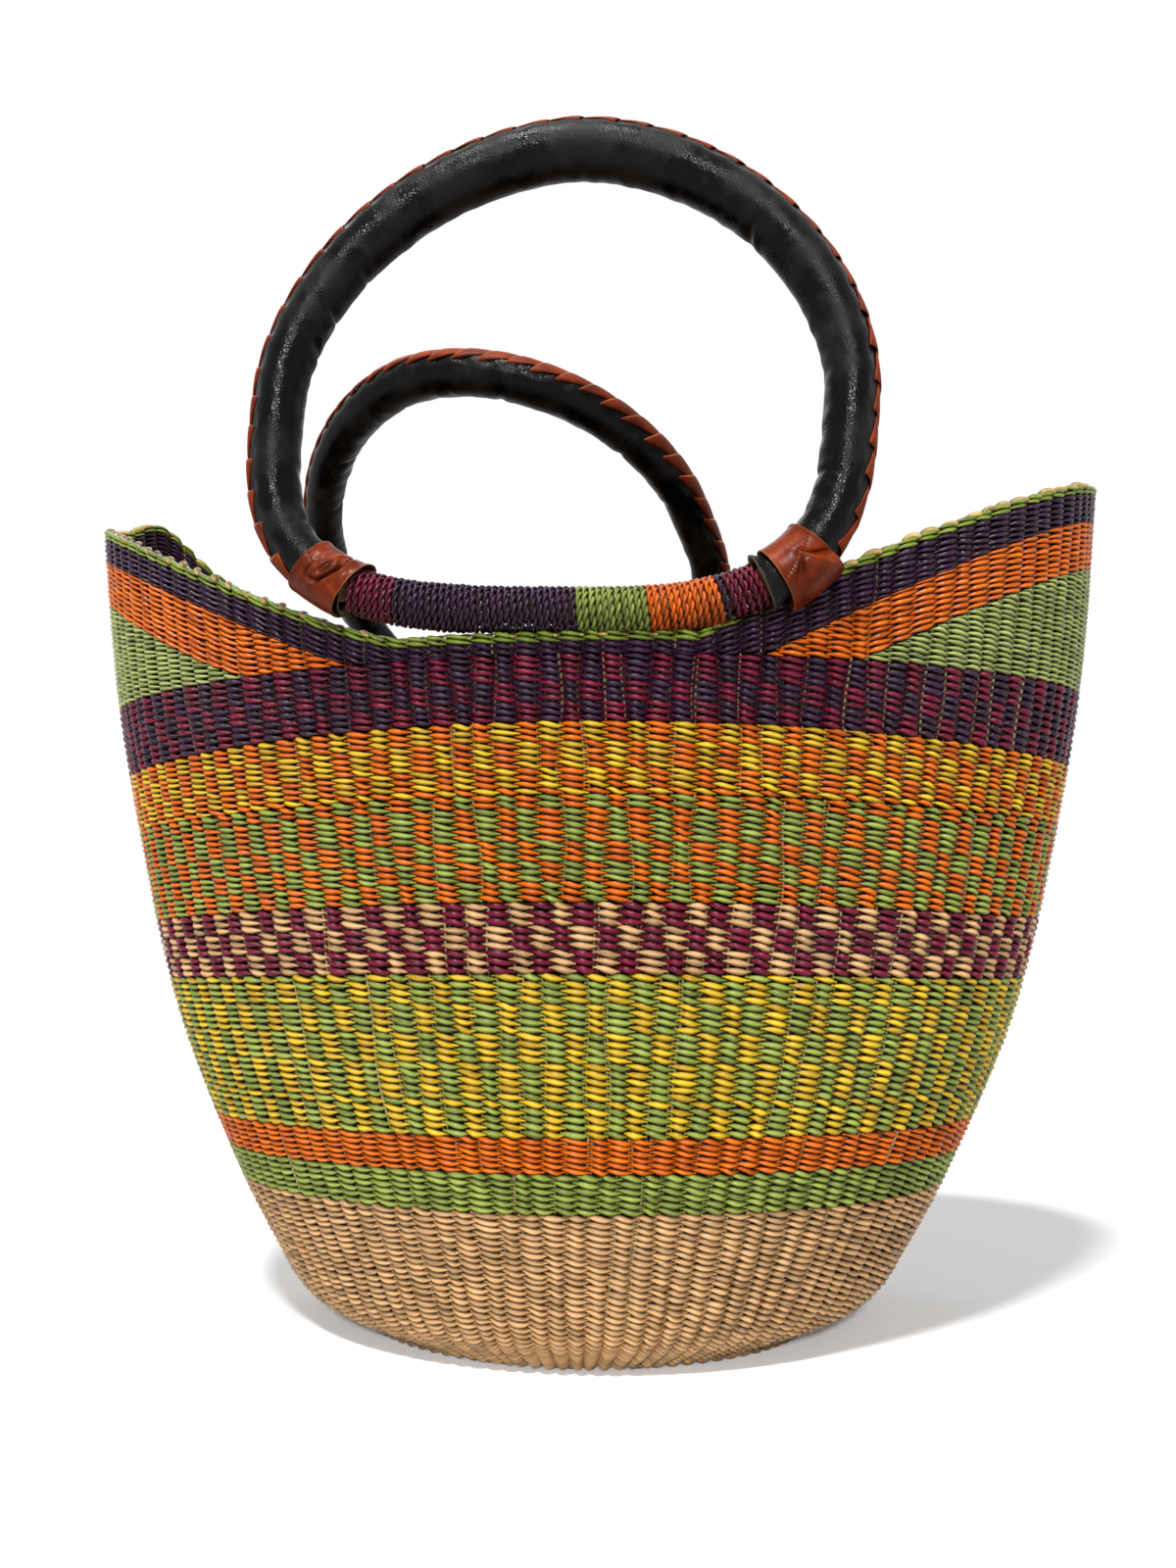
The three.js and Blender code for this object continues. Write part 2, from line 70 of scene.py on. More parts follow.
# Lines that rise to the wings, as (rise, start, power)
WING_LINES = {
    "green": {"left": (47.0, 0.58, 1.27), "right": (48.5, 0.51, 1.0)},
    "orange": {"left": (62.5, 0.37, 1.16), "right": (66.5, 0.345, 1.0)},
    "rim_front": {"left": (66.5, 0.28, 1.29), "right": (70.5, 0.235, 1.0)},
    "rim_back": {"left": (66.5, 0.32, 1.12), "right": (70.5, 0.32, 0.92)},
}
BACK_RISE = 28.4
LEFT_TIP = {"rise": 13.0, "degrees": 168.0, "reach": 10.0}
DARK_PURPLE_HEIGHT = 4.0
RIM_ROWS_HEIGHT = 3.2

# Colour bands from the foot up: CAD node, height, dip at the wings, stakes round the oval, grass
# over even and over odd stakes, and rows from the bottom after which the two change places
BANDS = [
    ("natural_wall", 50.5, 0.0, 94, ("natural", "natural"), ()),
    ("lower_green_band", 12.5, 1.0, 100, ("green", "green"), (6,)),
    ("lower_orange_band", 11.0, 1.2, 102, ("orange", "orange"), (6,)),
    ("green_yellow_band", 51.0, 4.0, 110, ("yellow", "green"), (4, 1, 5, 4, 4, 3, 1)),
    ("purple_natural_band", 22.5, 5.7, 116, ("magenta", "natural"), (3, 3, 3)),
    ("green_orange_band", 33.5, 6.0, 122, ("orange", "green"), (3, 3, 3, 5, 2)),
    ("orange_yellow_band", 22.6, 8.0, 126, ("orange", "yellow"), (1, 3, 4, 3)),
    ("magenta_purple_band", 20.6, 2.2, 130, ("magenta", "purple"), (3, 3, 4)),
]
BANDS_TOP = sum(band[1] for band in BANDS)
RIM_LEVEL = BANDS_TOP + DARK_PURPLE_HEIGHT + RIM_ROWS_HEIGHT
TOP_STAKES = 130
FOOT_HEIGHT = 12

# Pitches of the rows, and how unevenly a hand lays the grass
NATURAL_PITCH = 2.1
GREEN_WEDGE_PITCH = 1.8
SHORT_ROW_PITCH = 1.98
WEDGE_ROWS = range(30)
PURPLE_WING_ROWS = range(2, 12)
RIM_OVERLAP = 1.08
LEAST_PITCH = 0.9
LEAST_ROOM = 0.1
LEAST_QUARTERS = 12
SWAY = 0.0027
SWAY_WAVES = ((23, 0.06, 0.4), (41, -0.11, 2.1), (67, 0.16, 4.4))
ROW_DRIFT = 0.16
STITCH_SLANT = 0.25

# Ring handle: centre line, leather, cuffs and lace
RING_HALF_WIDTH = 93.0
RING_UPPER = 87.0
RING_LOWER = 71.7
RING_UPPER_POWER = 1.84
RING_LOWER_POWER = 3.3
RING_SKEW = 0.039
LEATHER_LOW_RADIUS = 7.95
LEATHER_TOP_RADIUS = 9.25
COVER_STARTS = {"left": 62.5, "right": 69.5}
CUFF_STARTS = {"left": 61.5, "right": 73.0}
CUFF_LENGTH = 17.0
KNOT_SHARE = 0.55
LACE_STITCHES = 38

# Each handle's directions in degrees, and the seed of its unevenness
HANDLES = {
    "front": {"heading": 0.0, "lean": 0.0, "roll": 2.0, "seed": 21},
    "back": {"heading": 161.0, "lean": 47.7, "roll": 6.0, "seed": 22},
}

# Wrapping of the bars: grass, first and last place along the bar, solids it stands for
WRAPS = [
    ("magenta", -62.0, -46.8, ["wrap_magenta_left"]),
    ("purple", -46.8, 11.2, ["wrap_purple"]),
    ("green", 11.2, 33.6, ["wrap_green"]),
    ("orange", 33.6, 55.8, ["wrap_orange"]),
    ("purple", 55.8, 58.4, []),
    ("magenta", 58.4, 69.0, ["wrap_magenta_right"]),
]
WRAP_RADIUS = 6.6

# Floor, lamps and the photograph's view
FLOOR_REACH = 30
ROOM_LIGHT = 0.2
SUN_SPREAD = 7.0
SUNS = {"top_sun": ((-0.15, -0.5, 1.0), 2.9), "front_sun": ((0.05, -1.0, 0.45), 2.5)}
GLOSS_LAMP = {"place": (-0.4, 0.55, 0.95), "target": (-0.05, -0.1, 0.36), "size": 0.4, "power": 1.0}
CAMERA_PLACE = (39.81, -455.36, 132.75)
CAMERA_AIM = (-0.08581, 0.98627, 0.14109)
FOCAL_SHARE = 1184.5 / 1600


def srgb(red, green, blue):
    """Linear colour of an 8-bit display colour."""
    def channel(c):
        return c / 12.92 if c <= 0.04045 else ((c + 0.055) / 1.055) ** 2.4
    return tuple(channel(c / 255) for c in (red, green, blue)) + (1.0,)


def dye(name, description, *rgb):
    return FloatVectorProperty(name=name, description=description, default=srgb(*rgb),
                               subtype="COLOR", size=4, min=0.0, max=1.0)


def length(name, description, size):
    return FloatProperty(name=name, description=description, default=size * MM,
                         unit="LENGTH", subtype="DISTANCE")


class BasketColours(bpy.types.PropertyGroup):
    """Dyes of the grass and colours of the leather."""

    natural: dye("Natural grass", "Undyed grass of the foot", 194, 151, 103)
    green: dye("Green grass", "Green of the bands", 132, 145, 62)
    pale_green: dye("Pale green grass", "Faded green of the wedges", 146, 156, 88)
    orange: dye("Orange grass", "Orange of the bands and wedges", 219, 97, 9)
    yellow: dye("Yellow grass", "Yellow of the bands", 208, 164, 34)
    magenta: dye("Magenta grass", "Magenta of the upper band", 102, 5, 38)
    purple: dye("Dark purple grass", "Dark purple of the rim and wrapping", 44, 15, 43)
    lime: dye("Rim green", "Green of the two rim rows", 118, 136, 44)
    straw: dye("Stake straw", "Pale straw of the stakes", 222, 192, 140)
    # Painted shade: a dark straw colour standing for the shade deep between the stitches.
    shaded_straw: dye("Inner straw", "Dark straw deep between the stitches", 52, 36, 22)
    stub: dye("Stake ends", "Weathered straw of the stake ends on the rim", 176, 148, 88)
    black_leather: dye("Black leather", "Cover of the rings", 8, 8, 9)
    brown_leather: dye("Brown leather", "Lace and cuffs", 134, 50, 16)


class BasketSizes(bpy.types.PropertyGroup):
    """Sizes of the twining and of the handles' wrapping."""

    steps: IntProperty(name="Steps", description="Points of a strand from stake to stake",
                       default=6, min=2)
    wave: length("Wave", "How far a strand swings out from the middle of the wall", 1.6)
    strand: length("Strand", "Half thickness of a strand", 1.15)
    twist: length("Twist", "How far a strand climbs between two stakes", 0.5)
    cord: length("Cord", "Pitch of the cord wound round the bars", 2.05)
    lay: length("Lay", "Length of one full twist of the cord's two plies", 6.0)


def size_of(name):
    """Size set in the panel, in millimetres."""
    return getattr(bpy.context.scene.basket_sizes, name) / MM


def colour_of(name, factor=1.0):
    """Colour set in the panel, made darker or paler."""
    return shade(getattr(bpy.context.scene.basket_colours, name), factor)


# Small helpers

def unit(vectors):
    return vectors / np.linalg.norm(vectors, axis=-1, keepdims=True)


def turned(angle, first, second):
    """Direction at an angle from a first direction towards a second one."""
    return np.cos(angle) * first + np.sin(angle) * second


def bump_at(value, middle, width):
    """Smooth bump of height 1 at a value."""
    return np.exp(-((value - middle) / width) ** 2)


def turned_from(turn, middle):
    """Angle from a place on the section to another, between minus and plus half a turn."""
    return np.angle(np.exp(1j * (turn - middle)))


def smooth_noise(rng, size, count, window):
    """Random numbers around 0, evened out over a window."""
    return np.convolve(rng.normal(0, size, count), np.ones(window) / window, "same")


def running(steps):
    """Distance run before each step and after the last."""
    return np.concatenate([[0], np.cumsum(steps)])


# Shape of the wall

def smooth_profile(values, height):
    """Value of the wall's profile at a height, going on in a straight line past the top."""
    height = np.asarray(height, float)
    knots = WALL_HEIGHTS
    last = len(knots) - 1
    before = np.maximum(np.arange(last + 1) - 1, 0)
    after = np.minimum(np.arange(last + 1) + 1, last)
    slopes = (values[after] - values[before]) / (knots[after] - knots[before])
    i = np.clip(np.searchsorted(knots, height, side="left") - 1, 0, last - 1)
    span = knots[i + 1] - knots[i]
    t = (height - knots[i]) / span
    a, b = values[i], values[i + 1]
    m, n = slopes[i] * span, slopes[i + 1] * span
    inside = a + t * m + t * t * (3 * (b - a) - 2 * m - n) + t ** 3 * (2 * (a - b) + m + n)
    return np.where(t > 1, b + slopes[i + 1] * (height - knots[i + 1]), inside)


def sway(angle, height):
    """How far the stakes stray sideways from their even places, as an angle."""
    return sum(SWAY * np.sin(m * angle + k * height + p) for m, k, p in SWAY_WAVES)


def wall_frame(angle, height, inset=WALL_THICKNESS / 2):
    """Points set inwards from the wall's outer face, with its outward and upward directions."""
    cos, sin = np.cos(angle), np.sin(angle)
    axes = (WALL_HALF_WIDTHS, WALL_HALF_DEPTHS)
    half_width, half_depth = halves = [smooth_profile(values, height) for values in axes]
    wide_slope, deep_slope = [(smooth_profile(values, height + SLOPE_STEP) - half) / SLOPE_STEP
                              for values, half in zip(axes, halves)]
    slope = wide_slope * cos ** 2 + deep_slope * sin ** 2
    steep = np.hypot(1, slope)
    point = np.stack([(half_width - inset / steep) * cos, (half_depth - inset / steep) * sin,
                      height + inset * slope / steep], -1)
    upward = unit(np.stack([wide_slope * cos, deep_slope * sin, np.ones_like(cos)], -1))
    along = unit(np.stack([-half_width * sin, half_depth * cos, np.zeros_like(cos)], -1))
    return point, np.cross(along, upward), upward


def band_line(level, dip=0.0):
    """Height of a band's edge for each angle round the body."""
    lift = BACK_RISE * (level / RIM_LEVEL) ** 2
    return lambda angle: level - dip * np.cos(angle) ** 2 + lift * ((1 + np.sin(angle)) / 2) ** 2


def wing_rise(angle, line):
    """How far a line rises towards the wings for each angle round the body."""
    def on(side):
        rise, start, power = WING_LINES[line][side]
        return rise * np.clip((np.abs(np.cos(angle)) - start) / (1 - start), 0, 1) ** power
    return np.where(np.cos(angle) > 0, on("right"), on("left"))


def saddle_line(level):
    """Line that is low at the middle of both long sides and rises to the wings."""
    flat = band_line(level)

    def line(angle):
        tip = LEFT_TIP["rise"] * bump_at(np.degrees(np.mod(angle, TURN)), LEFT_TIP["degrees"],
                                         LEFT_TIP["reach"])
        return flat(angle) + np.where(np.sin(angle) < 0, wing_rise(angle, "rim_front"),
                                      wing_rise(angle, "rim_back")) + tip
    return line


def level_lines():
    """Bottom line, top line and middle level of every band, then the lines above the bands."""
    lines, level, low = {}, 0.0, np.zeros_like
    for node, height, dip, *_ in BANDS:
        middle = level + height / 2
        level += height
        high = band_line(level, dip)
        lines[node] = (low, high, middle)
        low = high
    lines["wedge_bottom"] = low
    lines["green_top"] = lambda angle: low(angle) + wing_rise(angle, "green")
    lines["orange_top"] = lambda angle: low(angle) + wing_rise(angle, "orange")
    lines["purple_top"] = saddle_line(level + DARK_PURPLE_HEIGHT)
    lines["rim_top"] = saddle_line(RIM_LEVEL)
    return lines


def stake_angles(level, count):
    """Function from stake number to angle, with stakes evenly spaced round the oval at a level."""
    fine = np.linspace(0, TURN, 2001)
    x = smooth_profile(WALL_HALF_WIDTHS, level) * np.cos(fine)
    y = smooth_profile(WALL_HALF_DEPTHS, level) * np.sin(fine)
    run = running(np.hypot(np.diff(x), np.diff(y)))
    run /= run[-1]

    def angle(stake):
        share = np.asarray(stake, float) / count
        whole = np.floor(share)
        return np.interp(share - whole, run, fine) + whole * TURN
    return angle


# Meshes

class Bundle:
    """Tubes gathered into one mesh, with a bake layout, lengths along each tube, a tone, and
    painted shade that is 1 at each tube's upper and lower sides.
    """

    CELL_INSET = 0.04

    def __init__(self, sides):
        self.sides = sides
        self.tubes = []

    def add(self, centres, across, upward, tone=0.5, closed=False):
        tone = np.broadcast_to(np.asarray(tone, float), (len(centres),))
        self.tubes.append((centres, across, upward, tone, closed))

    def corners(self, rings, closed, flip):
        """Ring, and place round the ring, of each corner of one tube's faces."""
        i, j = np.meshgrid(np.arange(rings if closed else rings - 1), np.arange(self.sides),
                           indexing="ij")
        grid = np.stack([i.ravel()[:, None] + [0, 0, 1, 1], j.ravel()[:, None] + [0, 1, 1, 0]], -1)
        if not closed:
            fan = np.array([[0, m, m + 1, m + 2] for m in range(1, self.sides - 2, 2)])
            caps = [np.stack([0 * cap + ring, cap], -1)
                    for ring, cap in ((0, fan[:, ::-1]), (rings - 1, fan))]
            grid = np.concatenate([grid, *caps])
        return grid[:, ::-1] if flip else grid

    def build(self, name, columns=1):
        """The mesh object, each tube in its own cell of the bake layout."""
        k = self.sides
        turn = np.arange(k) / k * TURN
        cells = [columns, math.ceil(len(self.tubes) / columns)]
        verts, faces, bake, lengths, tones = [], [], [], [], []
        first = 0
        for number, (centres, across, upward, tone, closed) in enumerate(self.tubes):
            n, half = len(centres), len(centres) // 2
            ring = (centres[:, None] + np.cos(turn)[:, None] * across[:, None]
                    + np.sin(turn)[:, None] * upward[:, None])
            steps = np.linalg.norm(np.diff(centres, axis=0, append=centres[:1]), axis=1)
            ahead = np.cross(across[half], upward[half]) @ (centres[half] - centres[half - 1])
            u, v = np.moveaxis(self.corners(n, closed, ahead < 0), -1, 0)
            around = (np.linalg.norm(across[0]) + np.linalg.norm(upward[0])) * math.pi
            share = np.stack([u / (n if closed else n - 1), v / k], -1)
            cell = np.array([number % columns, number // columns], float)
            bake.append((cell + self.CELL_INSET + (1 - 2 * self.CELL_INSET) * share) / cells)
            lengths.append(np.stack([running(steps)[u], v / k * around + number * 13.0], -1))
            verts.append(ring.reshape(-1, 3))
            faces.append(first + u % n * k + v % k)
            # The second number is painted shade: sin² of the angle round the tube, 1 at its upper
            # and lower sides.
            tones.append(np.stack([np.repeat(tone, k), np.tile(np.sin(turn) ** 2, n)], -1))
            first += n * k
        return mesh_object(name, *map(np.concatenate, (verts, faces, bake, lengths, tones)))


def fill(items, key, values, kind=np.float32):
    """Sets one property of all points, corners or faces of a mesh."""
    items.foreach_set(key, values.astype(kind).ravel())


def mesh_object(name, verts, faces, bake, lengths, tones):
    mesh = bpy.data.meshes.new(name)
    mesh.vertices.add(len(verts))
    fill(mesh.vertices, "co", verts * MM)
    mesh.loops.add(faces.size)
    fill(mesh.loops, "vertex_index", faces, np.int32)
    mesh.polygons.add(len(faces))
    fill(mesh.polygons, "loop_start", np.arange(len(faces)) * 4, np.int32)
    mesh.update(calc_edges=True)
    fill(mesh.polygons, "use_smooth", np.ones(len(faces)), bool)
    for layer, values in (("OFBake", bake), ("Strand", lengths)):
        fill(mesh.uv_layers.new(name=layer).data, "uv", values)
    # The second layer holds the painted shade of each tube's upper and lower sides.
    for layer, values in zip(("tone", "groove"), tones.T):
        fill(mesh.attributes.new(layer, "FLOAT", "POINT").data, "value", values)
    mesh.update()
    piece = bpy.data.objects.new(name, mesh)
    bpy.context.scene.collection.objects.link(piece)
    return piece


def fit_out(piece, material, body, slot, *nodes):
    """Gives a piece its material and the body it moves with, and hides the solids it stands for.
    The slot is not used.
    """
    piece.data.materials.append(material)
    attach(piece, body)
    if nodes:
        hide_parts(*nodes)


# Shader maths

class Wire:
    """A shader socket on which Python's operators add Math nodes."""

    def __init__(self, nodes, socket):
        self.nodes = nodes
        self.socket = socket

    def math(self, operation, first, second):
        return self.nodes.node("ShaderNodeMath", {"operation": operation}, {0: first, 1: second})[0]

    def __add__(self, other):
        return self.math("ADD", self, other)

    def __sub__(self, other):
        return self.math("SUBTRACT", self, other)

    def __rsub__(self, other):
        return self.math("SUBTRACT", other, self)

    def __mul__(self, other):
        return self.math("MULTIPLY", self, other)

    __radd__ = __add__
    __rmul__ = __mul__


class Nodes:
    """Node tree of a material or of the world."""

    def __init__(self, owner):
        owner.use_nodes = True
        self.tree = owner.node_tree

    def link(self, wire, name, socket):
        self.tree.links.new(wire.socket, self.tree.nodes[name].inputs[socket])

    def node(self, kind, settings=None, inputs=None):
        """Adds a node, its settings first, then its sockets' values or links; gives its outputs."""
        made = self.tree.nodes.new(kind)
        for key, value in (settings or {}).items():
            setattr(made, key, value)
        for key, value in (inputs or {}).items():
            if isinstance(value, Wire):
                self.tree.links.new(value.socket, made.inputs[key])
            else:
                made.inputs[key].default_value = value
        return [Wire(self, socket) for socket in made.outputs]

    def white_where_seen(self, other, white):
        """White for the rays that show a background, the other shader for those that light."""
        rays = self.node("ShaderNodeLightPath")
        seen = rays[0] + (rays[3] + rays[6])
        return self.node("ShaderNodeMixShader", None, {0: seen, 1: other, 2: white})[0]


class Shader(Nodes):
    """Node tree of one material, ending in a Principled BSDF."""

    def __init__(self, name, **constants):
        self.material = bpy.data.materials.new(name)
        super().__init__(self.material)
        self.bsdf = self.tree.nodes["Principled BSDF"]
        for socket, value in constants.items():
            self.bsdf.inputs[socket.replace("_", " ")].default_value = value

    def mix(self, factor, first, second):
        sockets = {0: factor, 6: first, 7: second}
        return self.node("ShaderNodeMix", {"data_type": "RGBA"}, sockets)[2]

    def scaled(self, vector, *scale):
        return self.node("ShaderNodeMapping", None, {"Vector": vector, "Scale": scale})[0]

    def strand(self, along, around):
        """Coordinates on a strand, scaled along it and round it."""
        uv = self.node("ShaderNodeUVMap", {"uv_map": "Strand"})[0]
        return self.scaled(uv, along, around, 1.0)

    def place(self, scale):
        return self.scaled(self.node("ShaderNodeTexCoord")[3], scale, scale, scale)

    def noise(self, vector, detail=3.0):
        return self.node("ShaderNodeTexNoise", None,
                         {"Vector": vector, "Scale": 1.0, "Detail": detail})[0]

    def tone(self, layer="tone"):
        """Number stored at the points of the mesh: a strand's tone, or the painted shade that is 1
        at its upper and lower sides.
        """
        return self.node("ShaderNodeAttribute", {"attribute_name": layer})[2]

    def spread(self, value, low, high):
        """Value stretched so that low becomes 0 and high becomes 1, held between them."""
        return self.node("ShaderNodeMapRange", None, {0: value, 1: low, 2: high, 3: 0.0, 4: 1.0})[0]

    def finish(self, colour, roughness, height, distance, strength):
        bump = self.node("ShaderNodeBump", None,
                         {"Height": height, "Strength": strength, "Distance": distance * MM})[0]
        for wire, socket in ((bump, "Normal"), (colour, "Base Color"), (roughness, "Roughness")):
            self.link(wire, self.bsdf.name, socket)
        return self.material


def shade(colour, factor):
    return tuple(min(1.0, c * factor) for c in colour[:3]) + (1.0,)


def blend_of(first, second, share):
    return tuple(a + (b - a) * share for a, b in zip(first, second))


@cache
def grass(colour_name, use="twined", depth=1.0):
    """Dyed split grass: fibres along the strand, uneven dye, paler worn crests, and painted shade
    at each strand's upper and lower sides; a depth below 1 darkens the whole dye as painted shade.
    """
    # A depth below 1 is painted shade: the same dye made darker.
    base = colour_of(colour_name, depth)
    shader = Shader(f"{use}_grass_{colour_name}", Specular_IOR_Level=0.24)
    fibres = shader.noise(shader.strand(0.13, 2.6), 5.0)
    patches = shader.noise(shader.place(34.0), 2.0)
    tone = shader.tone()
    dark = shader.mix(shader.spread(fibres, 0.34, 0.66), shade(base, 0.4), shade(base, 1.3))
    uneven = shader.mix(shader.spread(patches * 0.35 + tone * 0.75, 0.15, 0.95), dark,
                        shade(base, 1.75))
    scuffs = shader.noise(shader.strand(0.7, 1.4), 2.0)
    bare = shader.spread(fibres * 0.6 + scuffs * 0.6, 0.76, 0.82)
    worn = shader.mix(bare * 0.4, uneven, blend_of(shade(base, 1.8), srgb(206, 168, 110), 0.15))
    # Painted shade: the strand's upper and lower sides go almost black, where the rows meet.
    colour = shader.mix(shader.tone("groove") * 0.92, worn, shade(base, 0.1))
    height = fibres * 0.9 + shader.noise(shader.strand(0.5, 2.0)) * 0.5
    return shader.finish(colour, fibres * 0.3 + 0.12, height, 0.4, 0.6)


@cache
def black_leather():
    """Soft black goat leather: mottled grey-brown bloom, fine wrinkles and a broken sheen."""
    base = colour_of("black_leather")
    shader = Shader("black_leather", Specular_IOR_Level=0.09)
    clouds = shader.noise(shader.place(60.0), 5.0)
    grain = shader.node("ShaderNodeTexVoronoi", {"feature": "DISTANCE_TO_EDGE"},
                        {"Vector": shader.place(900.0), "Scale": 1.0})[0]
    wrinkles = shader.noise(shader.place(210.0), 6.0)
    mottled = shader.mix(shader.spread(clouds, 0.46, 0.62), shade(base, 0.5),
                         blend_of(shade(base, 1.5), srgb(70, 64, 58), 0.15))
    worn = shader.mix(shader.spread(wrinkles, 0.58, 0.76) * 0.12, mottled, srgb(84, 80, 76))
    colour = shader.mix(shader.tone() * 0.5, worn, srgb(150, 128, 104))
    roughness = shader.spread(clouds, 0.4, 0.62) * 0.3 + 0.2
    height = wrinkles * 0.9 + shader.spread(grain, 0.0, 0.3) * 0.2
    return shader.finish(colour, roughness, height, 0.5, 0.45)


@cache
def brown_leather(name, tint, gloss):
    """Reddish brown leather with pale cut edges where the tone is high."""
    base = colour_of("brown_leather", tint)
    shader = Shader(name, Specular_IOR_Level=0.1)
    clouds = shader.noise(shader.place(140.0), 4.0)
    pores = shader.noise(shader.place(900.0))
    body = shader.mix(shader.spread(clouds, 0.35, 0.7), shade(base, 0.5), shade(base, 1.25))
    edge = shader.spread(shader.tone(), 0.72, 0.95)
    colour = shader.mix(edge * 0.7, body, srgb(196, 130, 80))
    roughness = shader.spread(clouds, 0.2, 0.8) * 0.22 + gloss
    return shader.finish(colour, roughness, clouds * 0.8 + pores * 0.35, 0.4, 0.5)


@cache
def reed_bundle():
    """Reeds of the ring, seen only between the wrapping and the leather."""
    shader = Shader("reed_bundle")
    streaks = shader.noise(shader.place(420.0), 4.0)
    colour = shader.mix(shader.spread(streaks, 0.35, 0.65), srgb(92, 62, 34), srgb(184, 142, 90))
    return shader.finish(colour, streaks * 0.2 + 0.6, streaks, 0.4, 0.5)


def white_floor():
    """Matt floor that looks white, and gives the object as little light back as bare ground."""
    shader = Shader("white_floor", Roughness=0.9, Specular_IOR_Level=0.1,
                    Base_Color=(0.93, 0.93, 0.93, 1), Emission_Color=WHITE, Emission_Strength=0.1)
    ground = shader.node("ShaderNodeBsdfDiffuse", None, {"Color": (0.3, 0.3, 0.3, 1)})[0]
    white = Wire(shader, shader.bsdf.outputs[0])
    shader.link(shader.white_where_seen(ground, white), "Material Output", 0)
    return shader.material


def white_room():
    """World that looks white and lights the object softly."""
    world = bpy.data.worlds.new("white_room")
    nodes = Nodes(world)
    room = nodes.tree.nodes["Background"]
    room.inputs["Color"].default_value = WHITE
    room.inputs["Strength"].default_value = ROOM_LIGHT
    white = nodes.node("ShaderNodeBackground", None, {"Color": WHITE, "Strength": 1.0})[0]
    mixed = nodes.white_where_seen(Wire(nodes, room.outputs[0]), white)
    nodes.link(mixed, "World Output", 0)
    return world


# Twined rows

class Weave:
    """Gathers strands by piece, so that each band's grass of one colour becomes one mesh."""

    def __init__(self, seed):
        self.bundles = {}
        self.rng = np.random.default_rng(seed)

    def row(self, keys, angle_of, height_of, pitch_of, first, last, closed=True):
        """One twined row: two strands that pass each other between the stakes.

        The strand of keys[0] lies outside at even stakes, the other one at odd stakes."""
        steps = bpy.context.scene.basket_sizes.steps
        wave, thick, twist = size_of("wave"), size_of("strand"), size_of("twist")
        count = int(round((last - first) * steps))
        u = first + np.arange(count if closed else count + 1) / steps
        angle = angle_of(u)
        angle = angle + sway(angle, height_of(angle))
        pitch = np.broadcast_to(pitch_of(angle), angle.shape)[:, None]
        point, outward, upward = wall_frame(angle, height_of(angle))
        drift = smooth_noise(self.rng, ROW_DRIFT, count + 2 * steps, steps)[:len(u), None]
        stitch = np.floor(u + 0.5 - first).astype(int)
        draws = stitch.max() + 2
        for strand, key in enumerate(keys):
            phase = math.pi * (u + strand)[:, None]
            swing = np.sign(np.cos(phase)) * np.abs(np.cos(phase)) ** 0.8
            full = np.abs(swing)
            tones = self.rng.random(draws)
            swell = (0.92 + 0.2 * self.rng.random(draws))[stitch][:, None]
            slant = (1 + STITCH_SLANT * self.rng.normal(0, 1, draws))[stitch][:, None]
            half_high = pitch * (0.18 + 0.33 * full) * swell
            half_deep = thick * (0.7 + 0.3 * full) * swell ** 0.5
            climb = -np.sin(phase) * twist * np.minimum(1, pitch / 2) * slant + drift
            centre = point + outward * swing * wave * (0.75 + 0.25 * swell) + upward * climb
            if not closed:
                taper = np.clip(np.minimum(u - first, last - u) / 0.3, 0.5, 1)[:, None]
                half_high, half_deep = half_high * taper, half_deep * taper
            self.bundles.setdefault(key, Bundle(6)).add(
                centre, outward * half_deep, upward * half_high, tones[stitch], closed)

    def short_rows(self, keys, angle_of, side, pitch, numbers, edge, far, way):
        """Rows of one wing, laid from an edge upwards (1) or downwards (-1) to a far line.

        Each is as long as it has room, and is squeezed towards its ends."""
        centre = 0 if side == "right" else TOP_STAKES // 2
        places = np.arange(centre - TOP_STAKES // 4, centre + TOP_STAKES // 4, 0.25)
        least = 0 if way < 0 else -math.inf
        for done in np.array(numbers) * pitch:
            def room(a):
                return way * (far(a) - edge(a)) - done
            inside = places[room(angle_of(places)) > LEAST_ROOM]
            if len(inside) > LEAST_QUARTERS:
                self.row(keys, angle_of,
                         lambda a: edge(a) + way * (done + np.clip(room(a), least, pitch) / 2),
                         lambda a: np.clip(room(a), LEAST_PITCH, pitch),
                         inside.min(), inside.max(), False)


def natural_levels(top):
    """Heights of the rows of the foot, evenly spaced along the wall's slope."""
    fine = np.linspace(0.6, top, 600)
    wide = np.gradient(smooth_profile(WALL_HALF_WIDTHS, fine), fine)
    deep = np.gradient(smooth_profile(WALL_HALF_DEPTHS, fine), fine)
    run = running(np.hypot(1, (wide + deep)[1:] / 2) * np.diff(fine))
    rows = int(round(run[-1] / NATURAL_PITCH))
    edges = np.interp(np.linspace(0, run[-1], rows + 1), run, fine)
    return (edges[1:] + edges[:-1]) / 2


GRASS_SLOTS = {"pale_green": "green", "yellow": "green_yellow", "magenta": "magenta_purple",
               "purple": "dark_purple", "lime": "rim_green"}


